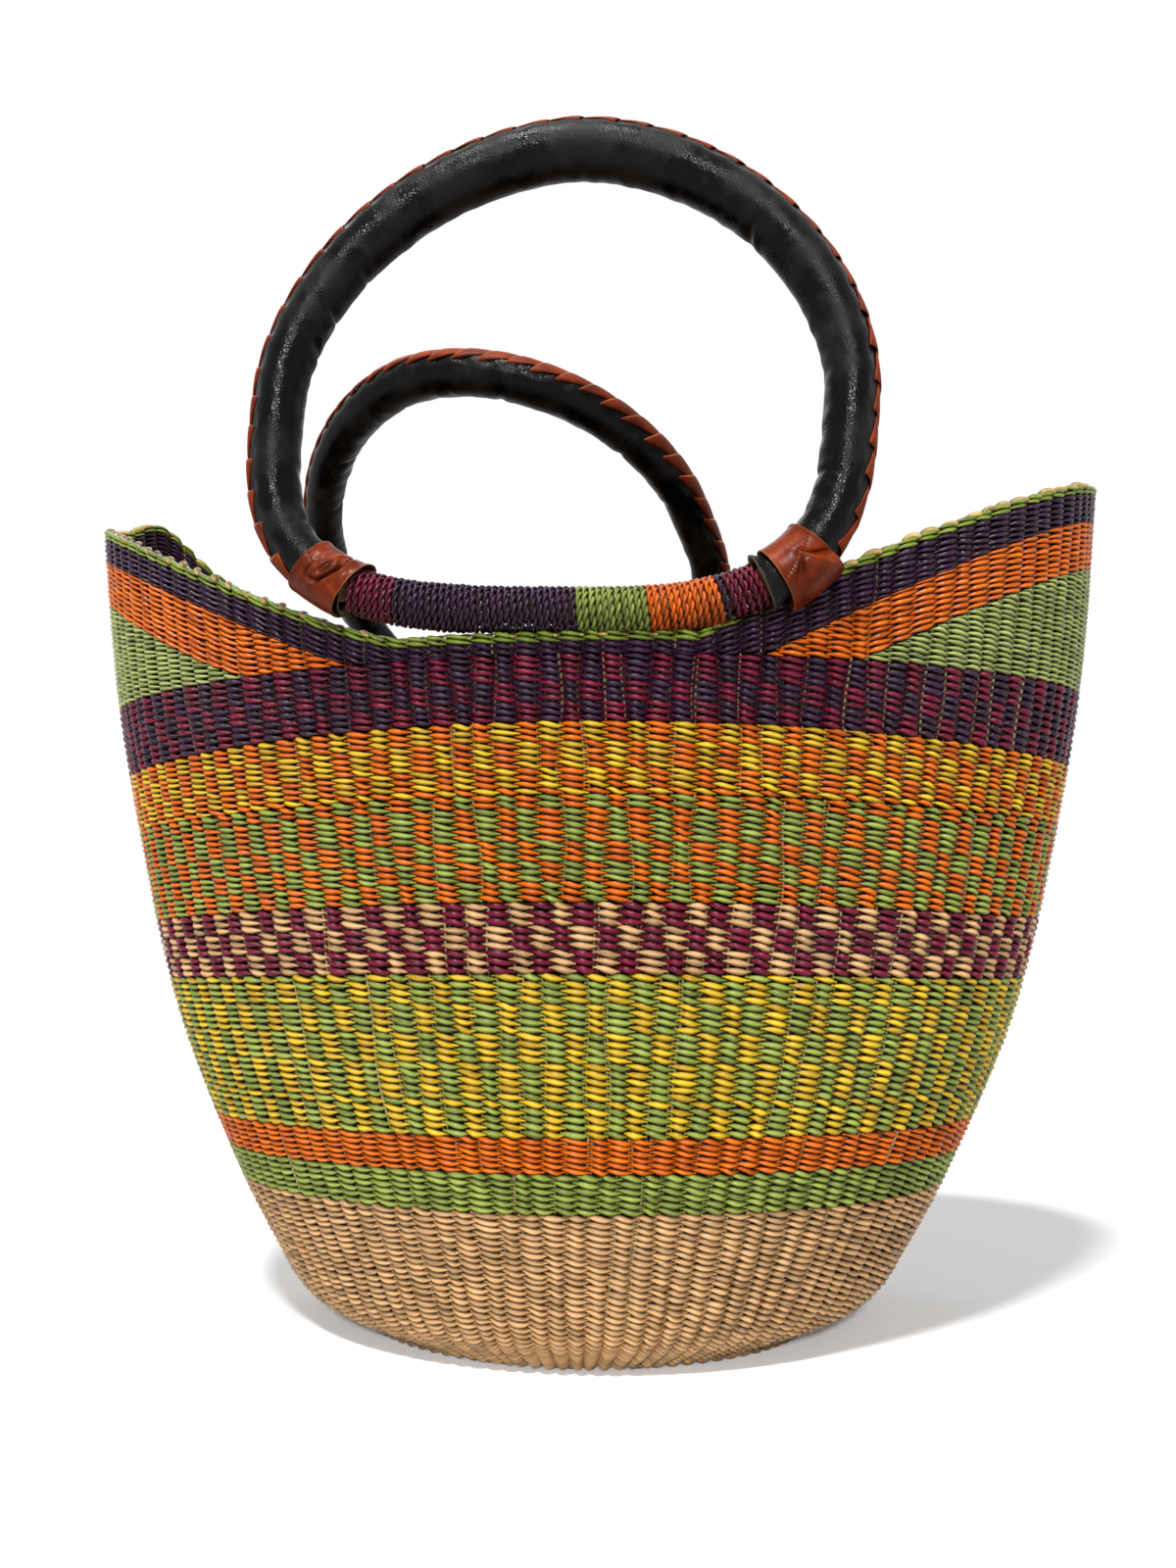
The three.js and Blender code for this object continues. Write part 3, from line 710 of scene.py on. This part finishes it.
def weave_bands(weave, lines):
    for node, height, _, stakes, colours_of, blocks in BANDS:
        low, high, middle = lines[node]
        angle_of = stake_angles(middle, stakes)

        def row_line(share):
            return lambda a: low(a) + (high(a) - low(a)) * share
        for i, level in enumerate([] if blocks else natural_levels(height)):
            part = "foot" if level < FOOT_HEIGHT else "wall"
            keys = [(node, "natural", f"{part}_{which}") for which in ("even", "odd")]
            first = i % 2 * 0.02
            weave.row(keys, angle_of, row_line(level / height), lambda a: NATURAL_PITCH,
                      first, stakes + first)
        parts = ("even", "odd") if len(set(colours_of)) == 1 else ("", "")
        rows = [number for number, count in enumerate(blocks) for _ in range(count)]
        for i, block in enumerate(rows):
            keys = [(node, colour, part)
                    for colour, part in zip(colours_of[::-1] if block % 2 else colours_of, parts)]
            weave.row(keys, angle_of, row_line((i + 0.5) / len(rows)),
                      lambda a: (high(a) - low(a)) / len(rows), 0, stakes)


def weave_wings(weave, lines, angle_of):
    """Short rows of green and orange in both wings, the purple rows over them and the rim."""
    bottom, green, orange, top = [lines[name] for name in (
        "wedge_bottom", "green_top", "orange_top", "purple_top")]
    purple = ("dark_purple_band", "purple", "")
    for side in ("left", "right"):
        for key, *run in (
                ((f"{side}_green_wedge", "pale_green", ""),
                 GREEN_WEDGE_PITCH, WEDGE_ROWS, bottom, green, 1),
                ((f"{side}_orange_wedge", "orange", ""),
                 SHORT_ROW_PITCH, WEDGE_ROWS, green, orange, 1),
                (purple, SHORT_ROW_PITCH, PURPLE_WING_ROWS, top, orange, -1)):
            weave.short_rows([key] * 2, angle_of, side, *run)
    half = RIM_ROWS_HEIGHT / 2
    for key, step, pitch in ((purple, -SHORT_ROW_PITCH, SHORT_ROW_PITCH),
                             (("green_rim", "lime", ""), half, half * RIM_OVERLAP)):
        for i in range(2):
            weave.row([key] * 2, angle_of, lambda a: top(a) + (i + 0.5) * step, lambda a: pitch,
                      0, TOP_STAKES)


def lay_straws(lines):
    """Straws of the stakes: pale ones beside the crossings, and behind the stitches straws in a
    dark colour that is painted shade.
    """
    pale, dark = Bundle(6), Bundle(4)
    rng = np.random.default_rng(11)
    runs = [(band[3], *lines[band[0]]) for band in BANDS]
    runs.append((TOP_STAKES, lines["wedge_bottom"], lines["rim_top"], BANDS_TOP))

    def straw(bundle, u, depth, half_width, half_deep, points=5):
        angle = np.full(points, angle_of(u))
        bottom, top = low(angle), high(angle)
        height = bottom + (top - bottom) * np.linspace(0, 1, points)
        angle = angle + sway(angle, height)
        height[-1] -= 1.0 if high is lines["rim_top"] else -0.4
        point, outward, upward = wall_frame(angle, np.maximum(height, 2.4))
        along = np.cross(upward, outward)
        bundle.add(point + outward * depth, along * half_width, outward * half_deep,
                   rng.random() * 0.6)
    for stakes, low, high, middle in runs:
        angle_of = stake_angles(middle, stakes)
        points = 4 + int(high(0.0) - low(0.0)) // 8
        for stake in range(stakes):
            for shift in (0.41, 0.59):
                straw(pale, stake + shift + rng.normal(0, 0.03), rng.normal(-0.25, 0.25),
                      0.4, 0.4, points)
            # Dark straws fill the rest of each pitch as painted shade behind the stitches.
            for shift in (-0.28, 0.0, 0.28, 0.5):
                straw(dark, stake + shift, 0.0, 1.3, 0.35)
    return pale.build("stake_straws", 24), dark.build("stake_core_straws", 48)


def turn_down_ends(lines):
    """Stake ends bent over the rim as short knuckles, low where the bars of the handles lie."""
    ends = Bundle(8)
    rng = np.random.default_rng(5)
    angle_of = stake_angles(RIM_LEVEL, TOP_STAKES)
    turn = np.linspace(0, 1, 9)
    arch = np.sin(turn * math.pi)
    for stake in range(TOP_STAKES):
        clear = np.clip((abs(math.cos(angle_of(stake))) - 0.3) / 0.12, 0, 1)
        rise = 0.3 + 0.65 * clear * rng.uniform(0.3, 1.2)
        angle = angle_of(stake + rng.normal(0, 0.1) + turn * rng.uniform(0.4, 0.72))
        inset = (WALL_THICKNESS / 2 + rng.uniform(0.9, 1.6) * np.cos(turn * math.pi)
                 + rng.normal(0, 0.3))
        height = lines["rim_top"](angle) - 1.8 + rise + rise * arch
        point, _, upward = wall_frame(angle, height, inset)
        tangent = unit(np.gradient(point, axis=0))
        side = unit(np.cross(tangent, upward))
        thick = (0.8 + 0.6 * clear) * rng.uniform(0.75, 1.15) * (0.75 + 0.35 * arch)[:, None]
        ends.add(point, side * thick, np.cross(side, tangent) * thick * 0.8, rng.random())
    return ends.build("turned_stake_ends_straw", 10)


def weave_base():
    """Twined oval base: rows from the middle out, on their own shorter stakes."""
    base = Bundle(6)
    rng = np.random.default_rng(3)
    steps = bpy.context.scene.basket_sizes.steps
    middle = WALL_THICKNESS / 2
    rows = int(WALL_HALF_DEPTHS[0] / 2.2)
    for i in range(rows):
        share = (i + 0.6) / rows
        stakes = max(12, int(94 * share / 2) * 2)
        u = np.arange(stakes * steps) / steps
        angle = u / stakes * TURN
        edge = wall_frame(angle, np.full_like(angle, middle), WALL_THICKNESS)[0]
        flat = edge * [share, share, 0] + [0, 0, middle]
        out = unit(flat * [1, 1, 0])
        down = np.broadcast_to([0.0, 0.0, -1.0], flat.shape)
        for strand in range(2):
            phase = math.pi * (u + strand)[:, None]
            tones = rng.random(stakes + 2)[np.floor(u + 0.5).astype(int)]
            base.add(flat + down * np.cos(phase) * 1.5 + out * np.sin(phase) * 0.6,
                     down * 0.95, out * 1.12, tones, True)
    return base.build("twined_base")


# Ring handles

def ring_table():
    """Points of the ring's centre line against the distance from the bar's middle."""
    turn = (np.linspace(0, 1, 8001) - 0.25) * TURN
    cos, sin = np.cos(turn), np.sin(turn)
    power = 2 / np.where(sin > 0, RING_UPPER_POWER, RING_LOWER_POWER)
    reach = np.where(sin > 0, RING_UPPER, RING_LOWER)
    x = RING_HALF_WIDTH * np.sign(cos) * np.abs(cos) ** power
    z = reach * np.sign(sin) * np.abs(sin) ** power + RING_LOWER
    x += RING_SKEW * z
    return running(np.hypot(np.diff(x), np.diff(z))), x, z


RING_DISTANCE, RING_X, RING_Z = ring_table()
RING_LENGTH = RING_DISTANCE[-1]


def ring_frame(distance):
    """Centre, forward, outward and front directions of the ring in its own plane."""
    def at(s):
        s = np.mod(s, RING_LENGTH)
        return np.stack([np.interp(s, RING_DISTANCE, RING_X), np.zeros_like(s),
                         np.interp(s, RING_DISTANCE, RING_Z)], -1)
    distance = np.asarray(distance, float)
    along = unit(at(distance + 0.4) - at(distance - 0.4))
    out = np.stack([along[..., 2], np.zeros_like(distance), -along[..., 0]], -1)
    return at(distance), along, out, np.broadcast_to([0.0, -1.0, 0.0], along.shape)


def leather_radius(distance):
    """Outer radius of the leather, which is fuller at the top of the ring than beside the bar."""
    share = np.interp(np.mod(distance, RING_LENGTH), RING_DISTANCE, RING_Z) / (
        RING_UPPER + RING_LOWER)
    return LEATHER_LOW_RADIUS + (LEATHER_TOP_RADIUS - LEATHER_LOW_RADIUS) * share ** 2


def no_shift(distance, turn):
    return 0 * turn


class Handle:
    """One ring handle: its pieces are made in the ring's plane and set where the hinge holds it."""

    def __init__(self, name):
        place = HANDLES[name]
        joint = next(j for j in frame["joints"] if j["name"] == f"{name}_handle_swing")
        heading, lean, roll = [math.radians(place[key]) for key in ("heading", "lean", "roll")]
        self.turning = np.array(Matrix.Rotation(heading, 3, "Z") @ Matrix.Rotation(-lean, 3, "X")
                                @ Matrix.Rotation(roll, 3, "Y")).T
        self.name = name
        self.body = f"{name}_handle"
        self.hinge = np.array(joint["pos_m"]) / MM
        self.rng = np.random.default_rng(place["seed"])

    def put(self, bundle):
        bundle.tubes = [(centres @ self.turning + self.hinge, across @ self.turning,
                         upward @ self.turning, tone, closed)
                        for centres, across, upward, tone, closed in bundle.tubes]
        return bundle

    def sleeve(self, name, distances, sides, radius_at, tone_at, shift_at=no_shift):
        """Tube round the ring whose radius and shift along it follow the distance and the angle."""
        centre, along, out, front = ring_frame(distances)
        turn = np.arange(sides) / sides * TURN
        place = distances[:, None], turn[None]
        radius = radius_at(*place)
        section = turned(turn[:, None], out[:, None], front[:, None])
        rings = (centre[:, None] + radius[..., None] * section
                 + along[:, None] * shift_at(*place)[..., None])
        bundle = Bundle(sides)
        bundle.add(centre, out * LEATHER_TOP_RADIUS, front * LEATHER_TOP_RADIUS)
        piece = self.put(bundle).build(name)
        placed = rings.reshape(-1, 3) @ self.turning + self.hinge
        fill(piece.data.vertices, "co", placed * MM)
        fill(piece.data.attributes["tone"].data, "value", tone_at(*place) + 0 * radius)
        piece.data.update()
        return piece


def ripple(rng, count, distance_scale, turn_scales):
    """Sum of a few random waves over a sleeve, as (distance, turn) -> height."""
    waves = [(rng.normal(0, distance_scale), rng.choice(turn_scales), rng.uniform(0, TURN),
              rng.uniform(0.5, 1)) for _ in range(count)]
    total = sum(w[3] for w in waves)
    return lambda distance, turn: sum(
        a * np.sin(k * distance + m * turn + p) for k, m, p, a in waves) / total


def lace_run():
    """First place and pitch of the lace's stitches."""
    first = CUFF_STARTS["right"] + CUFF_LENGTH + 0.6
    last = RING_LENGTH - CUFF_STARTS["left"] - CUFF_LENGTH - 0.2
    return first, (last - first) / LACE_STITCHES


def lace_angles(distance):
    """Middle and half width of the lace, as angles on the section; it wanders round the edge."""
    middle = 0.10 + 0.09 * np.sin(distance / 41 + 1.2) + 0.05 * np.sin(distance / 17)
    return middle, 0.62 + 0.10 * np.cos(distance / 60 - 0.4)


def cover_ring(handle):
    """Black leather sleeve, drawn in beside the lace and creased along its inner edge."""
    slack = ripple(handle.rng, 9, 0.11, [0, 1, 2])
    fine = ripple(handle.rng, 18, 0.7, [0, 1, 2, 3, 5])
    first, last = COVER_STARTS["right"], RING_LENGTH - COVER_STARTS["left"]
    mouth = np.array([5.0, 4.0, 2.4, 0.7, 0.0])
    distances = np.concatenate([first + mouth, np.linspace(first, last, 640)[1:-1],
                                last - mouth[::-1]])
    pinches = handle.rng.uniform(first + 40, last - 30, 7)
    lace_first, pitch = lace_run()
    row = np.arange(len(distances))[:, None]
    from_end = np.minimum(row, len(distances) - 1 - row)

    def radius(distance, turn):
        inside = bump_at(turned_from(turn, math.pi), 0, 0.9)
        middle, half = lace_angles(distance)
        beside = sum(bump_at(turned_from(turn, middle + side * (half + 0.04)), 0, 0.2)
                     for side in (-1, 1))
        drawn = 0.42 * beside * (0.55 + 0.6 * np.cos(TURN * (distance - lace_first) / pitch - 0.8))
        pinched = sum(bump_at(distance, at + 3 * math.sin(at) * np.sin(turn), 1.5)
                      for at in pinches)
        creases = fine(distance, turn) * (0.16 + 0.5 * inside) - 0.75 * pinched * inside
        flare = sum(bump_at(distance, end, 2.6) * wide * (0.75 + 0.35 * np.sin(3 * turn + end))
                    for end, wide in ((first, 1.75), (last, 0.9)))
        shape = (leather_radius(distance) + 0.12 + 0.3 * slack(distance, turn) + creases - drawn
                 + flare)
        return np.choose(np.minimum(from_end, 4), [
            6.7 + 0 * shape, 7.0 + 0 * shape, shape - 1.7, shape - 1.1, shape])

    def raw_edge(distance, turn):
        return np.where((from_end == 3) | (from_end == 4), 1.0, 0.0)
    piece = handle.sleeve(f"{handle.name}_leather_sleeve", distances, 72, radius, raw_edge)
    fit_out(piece, black_leather(), handle.body, "leather_black", f"{handle.name}_leather_cover")


def lace_ring(handle):
    """Flat leather lace whipped over the outer edge: each stitch starts on top of the last one."""
    lace = Bundle(10)
    first, pitch = lace_run()
    across = np.linspace(-1, 1, 21)
    taper = np.clip((np.abs(across) - 0.42) / 0.58, 0, 1)
    width = pitch * (1.22 * (1 - 0.93 * taper))
    for i in range(LACE_STITCHES):
        start = first + pitch * i + handle.rng.normal(0, 0.35)
        middle, half = lace_angles(start)
        half = half * handle.rng.uniform(0.88, 1.12)
        slant = pitch * (0.3 + handle.rng.normal(0, 0.05))
        distance = start + slant * across + width / 2
        centre, along, out, front = ring_frame(distance)
        angle = (middle + across * half)[:, None]
        radial = turned(angle, out, front)
        body = (leather_radius(distance) + 0.5 - 0.9 * np.abs(across) ** 7)[:, None]
        lap = -along * (width / 2)[:, None] + radial * (0.25 * (1 - taper))[:, None]
        thickness = 0.5 * unit(np.cross(lap, turned(angle, front, -out)))
        lace.add(centre + radial * body, lap, thickness, 0.0)
    piece = handle.put(lace).build(f"{handle.name}_lace_stitches", 4)
    cut_edges = np.array([1, 0.35, 0, 0, 0, 0, 0, 0, 0, 0.55])
    fill(piece.data.attributes["tone"].data, "value",
         np.tile(cut_edges, len(piece.data.vertices) // len(cut_edges)))
    fit_out(piece, brown_leather("lace_leather", 0.95, 0.36), handle.body, "leather_brown",
            f"{handle.name}_edge_lacing")


def eye_knot(share, around):
    """Puckered eye of the left cuff's tucked end, in millimetres above the leather."""
    across, along = around * 9, (share - KNOT_SHARE) * CUFF_LENGTH
    tilt = 0.45
    major = across * math.cos(tilt) - along * math.sin(tilt) - 1.2
    minor = across * math.sin(tilt) + along * math.cos(tilt)
    reach = np.hypot(major / 5.4, minor / 3.1)
    bearing = np.arctan2(minor / 3.1, major / 5.4)
    ring = bump_at(reach, 1.0 + 0.07 * np.sin(5 * bearing), 0.17) * (
        0.65 - 0.35 * np.sin(bearing + 0.4))
    inner = bump_at(reach, 0.52, 0.14) * (0.55 - 0.45 * np.sin(bearing - 0.6))
    slit = bump_at(minor, -0.25 + 0.05 * major, 0.38) * bump_at(major, 0, 3.1)
    rays = np.cos(8 * bearing + 1.5 * reach) * bump_at(reach, 1.45, 0.34)
    tail = (bump_at(minor, -3.4 + 0.05 * major ** 2, 0.5) * np.clip((major + 3) / 4, 0, 1)
            * bump_at(reach, 1.6, 1.0))
    return (2.4 * bump_at(reach, 0, 1.15) - 1.9 * ring - 0.8 * inner - 0.9 * slit + 0.22 * rays
            - 0.7 * tail)


def folded_knot(share, around):
    """Right cuff's tucked end: a raised wedge from a tip on the front to the outer edge."""
    across, along = -(around + 0.05) * 8.6, (share - KNOT_SHARE) * CUFF_LENGTH
    bearing, reach = np.arctan2(along, across), np.hypot(across, along)
    flap = np.clip((0.84 - bearing) / 0.26, 0, 1) * np.clip((bearing + 0.72) / 0.26, 0, 1)
    grooves = bump_at(bearing, 0.88, 0.13) + 0.7 * bump_at(bearing, -0.76, 0.13)
    return (2.6 * flap * np.clip(reach / 7, 0, 1) ** 0.6
            - 1.3 * grooves * bump_at(reach, 5.5, 4.5) - 0.5 * bump_at(reach, 0, 1.6))


def cuff_ring(handle, side):
    """Leather cuff drawn tight round the cover, its tucked end making a knot on the front."""
    start = CUFF_STARTS[side]
    towards = 1 if side == "right" else -1
    lining = np.array([0.34, 0.17, 0.05, 0.0])
    share = np.concatenate([lining, np.linspace(0, 1, 86)[1:-1], 1 - lining[1::-1] * 0.5])
    distances = towards * (start + CUFF_LENGTH * share)
    folds = ripple(handle.rng, 9, 0.4, [0, 1, 2, 3])
    knot = folded_knot if side == "right" else eye_knot
    row = np.arange(len(distances))[:, None]
    from_end = len(distances) - 1 - row

    def place_of(distance, turn):
        return (distance * towards - start) / CUFF_LENGTH, turned_from(turn, math.pi / 2)

    def radius(distance, turn):
        along, around = place_of(distance, turn)
        opening = (0.2 if side == "left" else 0.0) * np.clip(1 - along, 0, 1) ** 1.6
        overlap = 0.5 * np.clip(turned_from(turn, -2.1 + 0.8 * along) / 0.1, 0, 1)
        edge = 0.2 * sum(bump_at(along, end, 0.05) for end in (0.03, 0.97))
        skin = leather_radius(distance)
        shape = (skin + 1.45 + opening + knot(along, around) + overlap + edge
                 + 0.16 * folds(distance, turn))
        shape = np.maximum(shape, skin + 0.6)
        for rows, tucked in ((row == 2, skin + 0.9 + opening),
                             (row == 1, skin + 0.4 + opening * 0.6), (row == 0, 6.6),
                             (from_end == 1, skin + 0.7), (from_end == 0, skin - 0.4)):
            shape = np.where(rows, tucked, shape)
        return shape

    def shift(distance, turn):
        along, around = place_of(distance, turn)
        reach = -3.0 * np.cos(turn) if side == "left" else -1.4 - 0.8 * np.cos(turn)
        far = np.clip(along - 0.3, 0, 1) * (1.0 * bump_at(around, -1.0, 0.6) - 0.8 * np.cos(turn))
        return towards * (far - np.clip(1 - along, 0, 1) * reach)

    def cut_edge(distance, turn):
        along, _ = place_of(distance, turn)
        return np.where((along < 0.012) | (along > 0.985), 0.95, 0.0)
    piece = handle.sleeve(f"{handle.name}_{side}_cuff_leather", distances, 120, radius, cut_edge,
                          shift)
    fit_out(piece, brown_leather("cuff_leather", 0.86, 0.2), handle.body, "leather_cuff",
            f"{handle.name}_{side}_cuff")


def wrap_bar(handle):
    """Two-ply grass cord wound closely round the bar, colour by colour."""
    pitch, lay = size_of("cord"), size_of("lay")
    steps = 46
    for number, (colour, first, last, nodes) in enumerate(WRAPS):
        turns = int(round((last - first) / pitch))
        u = np.arange(turns * steps + 1) / steps
        centre, along, out, front = ring_frame(first + (u + 0.3) * (last - first) / turns)
        radius = (WRAP_RADIUS + smooth_noise(handle.rng, 0.9, len(u) + 200, 150)[:len(u)])[:, None]
        angle = (u * TURN)[:, None]
        radial = turned(angle, out, front)
        drift = smooth_noise(handle.rng, 1.0, len(u) + 100, 60)[:len(u), None]
        middle = centre + radial * radius + along * (np.cos(angle) * 0.9 + drift)
        uneven = np.cumsum(handle.rng.normal(0, 0.05, len(u)))
        cord = Bundle(6)
        for ply in (0, math.pi):
            twist = (u * TURN * TURN * 6.05 / lay + uneven)[:, None] + ply
            tone = np.repeat(handle.rng.random(2 * turns * 6 + 2), steps // 6 + 1)[:len(u)]
            cord.add(middle + turned(twist, radial, along) * 0.55, radial * 0.64, along * 0.7, tone)
        piece = handle.put(cord).build(f"{handle.name}_wrap_{number}_{colour}")
        # The cord uses the body's dyes at 0.72 of their brightness, as painted shade on the wraps.
        fit_out(piece, grass(colour, "wound", 0.72), handle.body, f"wrap_{colour}",
                *[f"{handle.name}_{node}" for node in nodes])


# Operators

class BASKET_OT_body(bpy.types.Operator):
    """Twine the coloured bands, wings and rim of the body"""

    bl_idname = "basket.body"
    bl_label = "Twined body"

    def execute(self, context):
        lines = level_lines()
        weave = Weave(7)
        weave_bands(weave, lines)
        weave_wings(weave, lines, stake_angles(RIM_LEVEL, TOP_STAKES))
        replaced = set()
        for (node, colour, part), bundle in weave.bundles.items():
            piece = bundle.build("_".join(filter(None, [node, colour, part, "strands"])))
            slot = f"grass_{GRASS_SLOTS.get(colour, colour)}"
            fit_out(piece, grass(colour), BODY, slot, *{node} - replaced)
            replaced.add(node)
        return {"FINISHED"}


class BASKET_OT_stakes(bpy.types.Operator):
    """Lay the straw stakes, turn their ends down over the rim and twine the base"""

    bl_idname = "basket.stakes"
    bl_label = "Stakes and base"

    def execute(self, context):
        lines = level_lines()
        # The second bundle's dark straw colour is painted shade.
        for piece, colour in zip(lay_straws(lines), ("straw", "shaded_straw")):
            fit_out(piece, grass(colour), BODY, "straw")
        fit_out(turn_down_ends(lines), grass("stub"), BODY, "straw", "turned_stake_ends")
        fit_out(weave_base(), grass("natural"), BODY, "grass_natural", "base_disc")
        return {"FINISHED"}


class BASKET_OT_handles(bpy.types.Operator):
    """Cover both ring handles with leather, lace them and wrap their bars"""

    bl_idname = "basket.handles"
    bl_label = "Ring handles"

    def execute(self, context):
        for name in HANDLES:
            handle = Handle(name)
            cover_ring(handle)
            lace_ring(handle)
            for side in CUFF_STARTS:
                cuff_ring(handle, side)
            wrap_bar(handle)
            core = frame["nodes"][f"{name}_ring_core"]
            core.data.materials.clear()
            core.data.materials.append(reed_bundle())
        return {"FINISHED"}


def set_up(name, data, place, aim):
    """Adds an object at a place, looking or shining along the aim."""
    holder = bpy.data.objects.new(name, data)
    holder.location = place
    holder.rotation_euler = Vector(aim).to_track_quat("-Z", "Y").to_euler()
    bpy.context.scene.collection.objects.link(holder)
    return holder


class BASKET_OT_stage(bpy.types.Operator):
    """Set the pale floor, the soft lamps and the photograph's camera"""

    bl_idname = "basket.stage"
    bl_label = "Stage"

    def execute(self, context):
        scene = context.scene
        mesh = bpy.data.meshes.new("floor")
        corners = [(x * FLOOR_REACH, y * FLOOR_REACH, 0)
                   for x, y in ((-1, -1), (1, -1), (1, 1), (-1, 1))]
        mesh.from_pydata(corners, [], [(0, 1, 2, 3)])
        mesh.materials.append(white_floor())
        floor = bpy.data.objects.new("floor", mesh)
        scene.collection.objects.link(floor)
        scene.world = white_room()
        for name, (place, power) in SUNS.items():
            lamp = bpy.data.lights.new(name, "SUN")
            lamp.angle = math.radians(SUN_SPREAD)
            lamp.energy = power
            set_up(name, lamp, (0, 0, 0), -Vector(place))
        gloss = bpy.data.lights.new("gloss_lamp", "AREA")
        gloss.size = GLOSS_LAMP["size"]
        gloss.energy = GLOSS_LAMP["power"]
        place, target = Vector(GLOSS_LAMP["place"]), Vector(GLOSS_LAMP["target"])
        set_up("gloss_lamp", gloss, place, target - place)
        view = bpy.data.cameras.new("camera")
        view.sensor_width = 36.0
        view.lens = view.sensor_width * FOCAL_SHARE
        view.clip_start = 0.01
        scene.camera = set_up("camera", view, Vector(CAMERA_PLACE) * MM, CAMERA_AIM)
        scene.view_settings.view_transform = "Standard"
        return {"FINISHED"}


class BASKET_PT_panel(bpy.types.Panel):
    """Sizes, colours and steps of the basket"""

    bl_idname = "BASKET_PT_panel"
    bl_label = "Market basket"
    bl_space_type = "VIEW_3D"
    bl_region_type = "UI"
    bl_category = "Basket"

    def draw(self, context):
        layout = self.layout
        for group in (context.scene.basket_sizes, context.scene.basket_colours):
            box = layout.box()
            for key in group.__annotations__:
                box.prop(group, key)
        for operator in OPERATORS:
            layout.operator(operator.bl_idname)


OPERATORS = (BASKET_OT_body, BASKET_OT_stakes, BASKET_OT_handles, BASKET_OT_stage)
CLASSES = (BasketColours, BasketSizes, *OPERATORS, BASKET_PT_panel)


def register():
    for cls in CLASSES:
        bpy.utils.register_class(cls)
    bpy.types.Scene.basket_colours = PointerProperty(type=BasketColours)
    bpy.types.Scene.basket_sizes = PointerProperty(type=BasketSizes)


def unregister():
    del bpy.types.Scene.basket_sizes
    del bpy.types.Scene.basket_colours
    for cls in reversed(CLASSES):
        bpy.utils.unregister_class(cls)


def main():
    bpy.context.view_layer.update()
    register()
    bpy.ops.basket.body()
    bpy.ops.basket.stakes()
    bpy.ops.basket.handles()
    bpy.ops.basket.stage()


if __name__ == "__main__":
    main()
